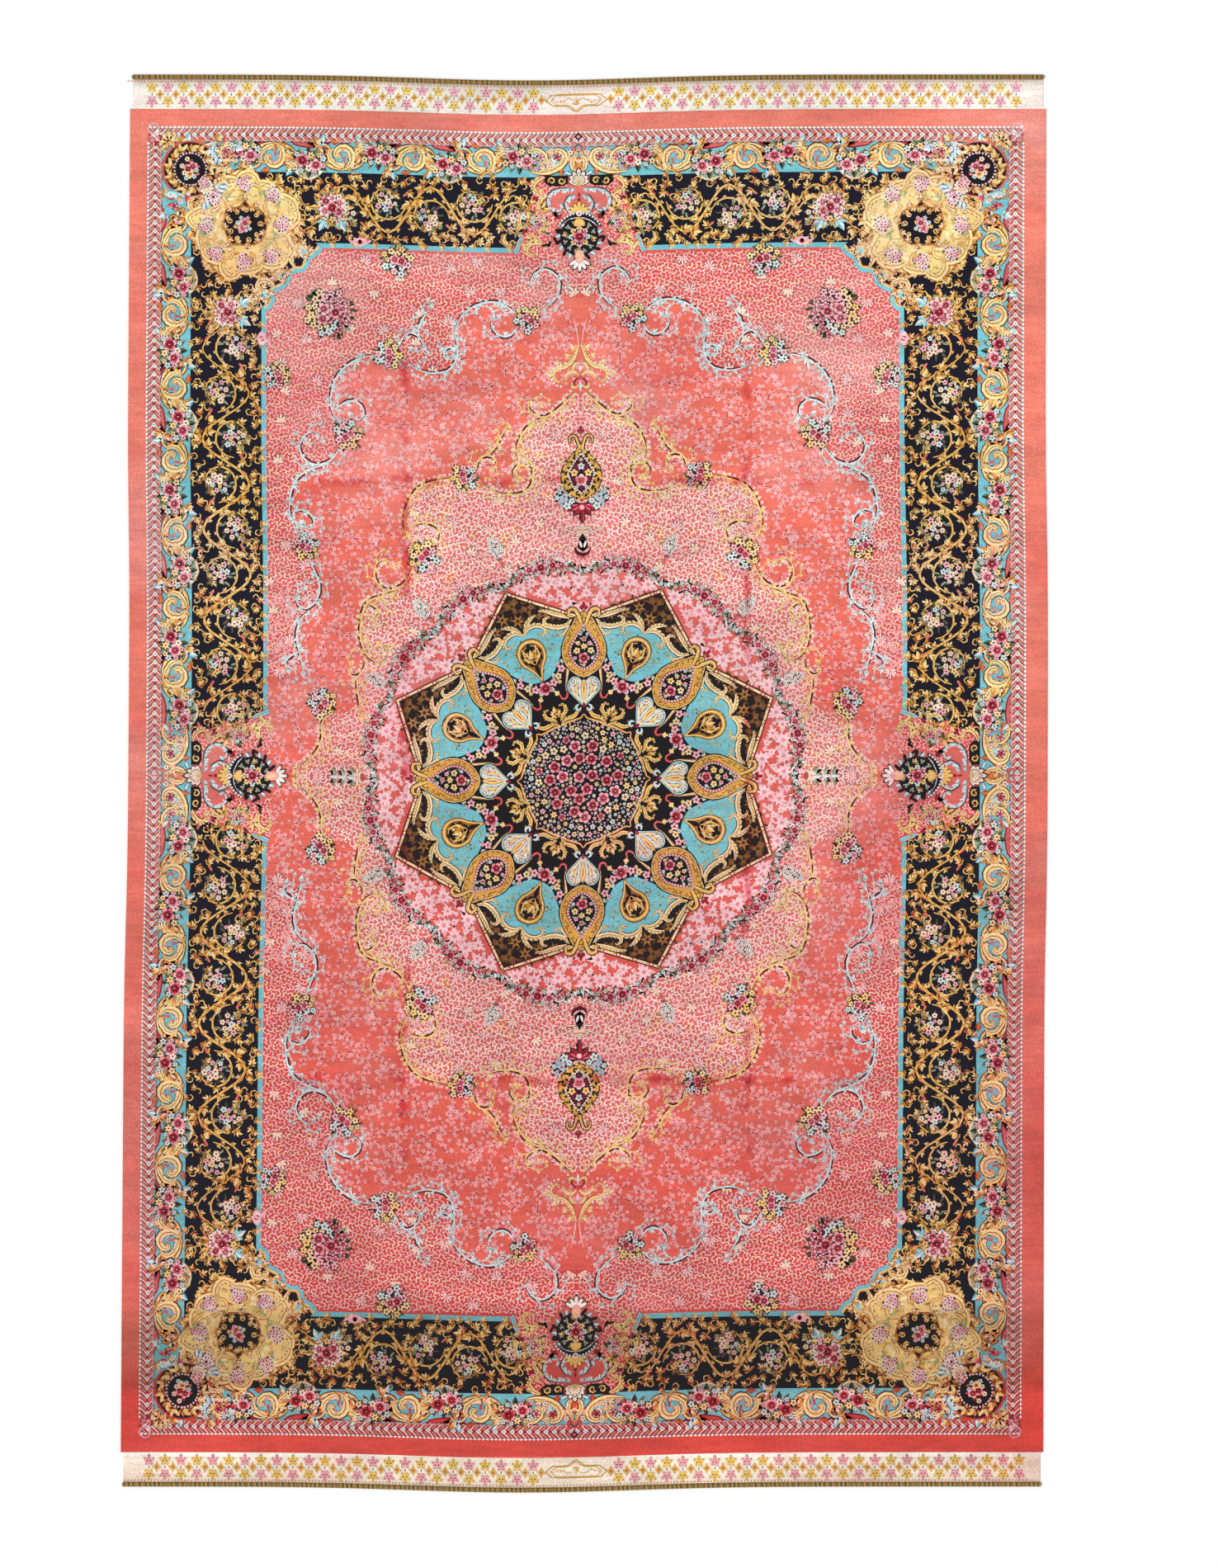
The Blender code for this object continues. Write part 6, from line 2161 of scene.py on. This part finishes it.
layInlay("chevronGuard", joined(overToAllQuarters(joined(topStretch, sideStretch, collect(knots))), motifsRound), 1.5)


# Flatwoven ends
def kilimFlower(petal, rim):
    def build(d):
        for angle, long in ((0.0, 8.6), (1.10, 8.0), (-1.10, 8.0), (2.45, 6.8), (-2.45, 6.8)):
            blot(d, -long * 0.5 * math.sin(angle), long * 0.5 * math.cos(angle), 2.8, long * 0.5, angle, petal, rim,
                 0.4, 6, leafForm)
        blot(d, 0, 0, 5.4, 4.8, 0, petal, petal, 0.6, 8)
        for side in (1, -1):
            blot(d, side * 2.0, -0.2, 1.0, 1.0, 0, "darkRed", "brown", 1.2, 5)
        blot(d, 0, 2.8, 0.6, 1.6, 0, "brown", "brown", 1.2, 4)
    return motifOf(build)


def kilimEnd():
    d = newDrawing()
    flowerGold, flowerPink = kilimFlower(dye(242, 206, 110), dye(196, 176, 90)), kilimFlower(dye(242, 176, 190),
            dye(206, 150, 150))
    pitch = 19.45
    for side, count in ((-1, 25), (1, 26)):
        for k in range(count):
            u = side * (52 + k * pitch)
            upper, lower = (flowerGold, flowerPink) if k % 2 == 0 else (flowerPink, flowerGold)
            stampMotif(d, upper, u, 834.6, 0.0, 1.0, 0.2)
            stampMotif(d, lower, u, 818.8, math.pi, 1.0, 0.2)
            blot(d, u, 826.6, 0.7, 2.6, 0, "turquoiseDark", "brown", 0.4, 4)
            w = u - side * pitch / 2
            blot(d, w, 826.6, 4.9, 6.6, 0, dye(234, 200, 112), dye(220, 172, 84), 0.4, 8,
                 lambda xy: starForm(xy, 4, 0.62))
            blot(d, w, 826.6, 1.9, 2.1, 0, dye(170, 70, 40), dye(206, 120, 60), 1.0, 4)
            for lean in (1, -1):  # hairlines that tie the row together
                blot(d, w + lean * pitch / 4, 826.6 + lean * 1.6, 0.35, 3.6, lean * 0.9, dye(196, 150, 90),
                     dye(206, 170, 110), 0.3, 4)
    # cartouche: an outline with a plain ornament
    for shrink, width in ((1.0, 1.5), (0.84, 0.9)):
        shape = [(-37, 826), (-31, 831), (-27, 833), (27, 833), (31, 831), (37, 826), (31, 821), (27, 819), (12, 819),
                 (6, 815), (0, 810),
                 (-6, 815), (-12, 819), (-27, 819), (-31, 821), (-37, 826)]
        frameLine = smoothPath([(u * shrink, 826 + (v - 826) * (shrink if v > 818 else shrink * 0.9)) for u,
                                v in shape], 2)
        ribbon(d, frameLine, width, "gold", dye(200, 160, 80), 0.6, 1, 1)
    for side in (1, -1):
        vine = mirrored(side, [(3, 826), (10, 828), (18, 824), (27, 826)], 2)
        leafyStem(d, vine, 0.9, (dye(214, 176, 96), dye(214, 176, 96)), "goldLeaf", 4.5, 3.6, 0.6, 0.9)
    stampMotif(d, "goldFrond", 0, 820, 0, 9, 1.0)
    for k in range(270):  # rusty stitches that hold the binding
        u = -548 + k * 4.07
        blot(d, u, 842.6, 0.9, 1.7, 0.5, dye(206, 112, 60), dye(226, 160, 100), 0.4, 4)
    return collect(d)


layInlay("kilimBlossoms", onEnds(kilimEnd()), 0.0)


# Corded bindings
binding = {"radius": 0.0055, "flatness": 0.436, "gap": 0.0003, "overhang": 0.0030, "wraps": 430, "ridge": 0.00042,
           "slant": 1.0}


def cordMaterial():
    material, tree, shader = principled("bindingCord", (0.42, 0.30, 0.08), 0.75)
    desk = nodeDesk(tree)
    place = desk.add("ShaderNodeTexCoord").outputs["Object"]
    colour = desk.add("ShaderNodeAttribute", attribute_name="pileColour").outputs["Color"]
    fibre = desk.noise(place, 900.0, 3.0, (1.0, 0.25, 1.0))
    desk.shaded(shader, colour, desk.ramp(fibre, 0.3, 0.7, 0.72, 1.18))
    desk.relief(shader, fibre, 0.4, 0.0004)
    return material


cordLook = cordMaterial()


def makeBinding(name, node, end):
    steps, sides = binding["wraps"] * 3, 8
    shape = bmesh.new()
    bmesh.ops.create_grid(shape, x_segments=steps, y_segments=sides, size=0.5)
    layer = shape.verts.layers.float_color.new("pileColour")
    spots = np.array([vertex.co[:2] for vertex in shape.verts])
    run = np.round((spots[:, 0] + 0.5) * steps).astype(int)
    angle = (spots[:, 1] + 0.5) * 2 * math.pi * end
    half = rug["width"] / 2 * (1 - 2 * rug["kilimInset"] / rug["width"])
    share = run / steps * 2 - 1
    x, y = outOfSquare(share * half, np.full(len(share), end * (rug["pileLength"] / 2 + rug["kilimLength"])))
    x = x + share * binding["overhang"]
    phase = run / 3 * 2 * math.pi + binding["slant"] * angle * end
    ridge = binding["ridge"] * np.cos(phase)
    close = np.where((run == 0) | (run == steps), 0.35, np.where((run == 1) | (run == steps - 1), 0.8, 1.0))
    radius = (binding["radius"] - binding["ridge"] + ridge) * close
    y = y + end * (binding["gap"] + binding["radius"]) + radius * np.cos(angle)
    z = binding["radius"] * binding["flatness"] * (1 + np.sin(angle) * radius / binding["radius"])
    wrap = np.floor(run / 3 + 0.25)
    tone = 0.5 + 0.5 * np.sin(wrap * 2.9 + np.sin(wrap * 0.37) * 2)
    olive, gilt = dye(104, 84, 34), dye(206, 158, 72)
    for number, vertex in enumerate(shape.verts):
        vertex.co = (x[number], y[number], z[number])
        # each wrap's own yarn tone, darkened by painted shade in the grooves between the wraps
        shade = (olive + (gilt - olive) * tone[number]) * (0.72 + 0.28 * math.cos(phase[number]))
        vertex[layer] = (*shade, 1.0)
    bmesh.ops.remove_doubles(shape, verts=shape.verts[:], dist=1e-6)
    bmesh.ops.holes_fill(shape, edges=[edge for edge in shape.edges if edge.is_boundary], sides=0)
    bmesh.ops.recalc_face_normals(shape, faces=shape.faces[:])
    mesh = bpy.data.meshes.new(name)
    shape.to_mesh(mesh)
    shape.free()
    bakeMap(mesh)
    mesh.shade_smooth()
    mesh.materials.append(cordLook)
    piece = linked(bpy.data.objects.new(name, mesh))
    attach(piece, "root")
    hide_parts(node)
    print(name, len(mesh.polygons), "faces")
    return piece


makeBinding("topBinding", "end_binding_top", 1)
makeBinding("footBinding", "end_binding_foot", -1)
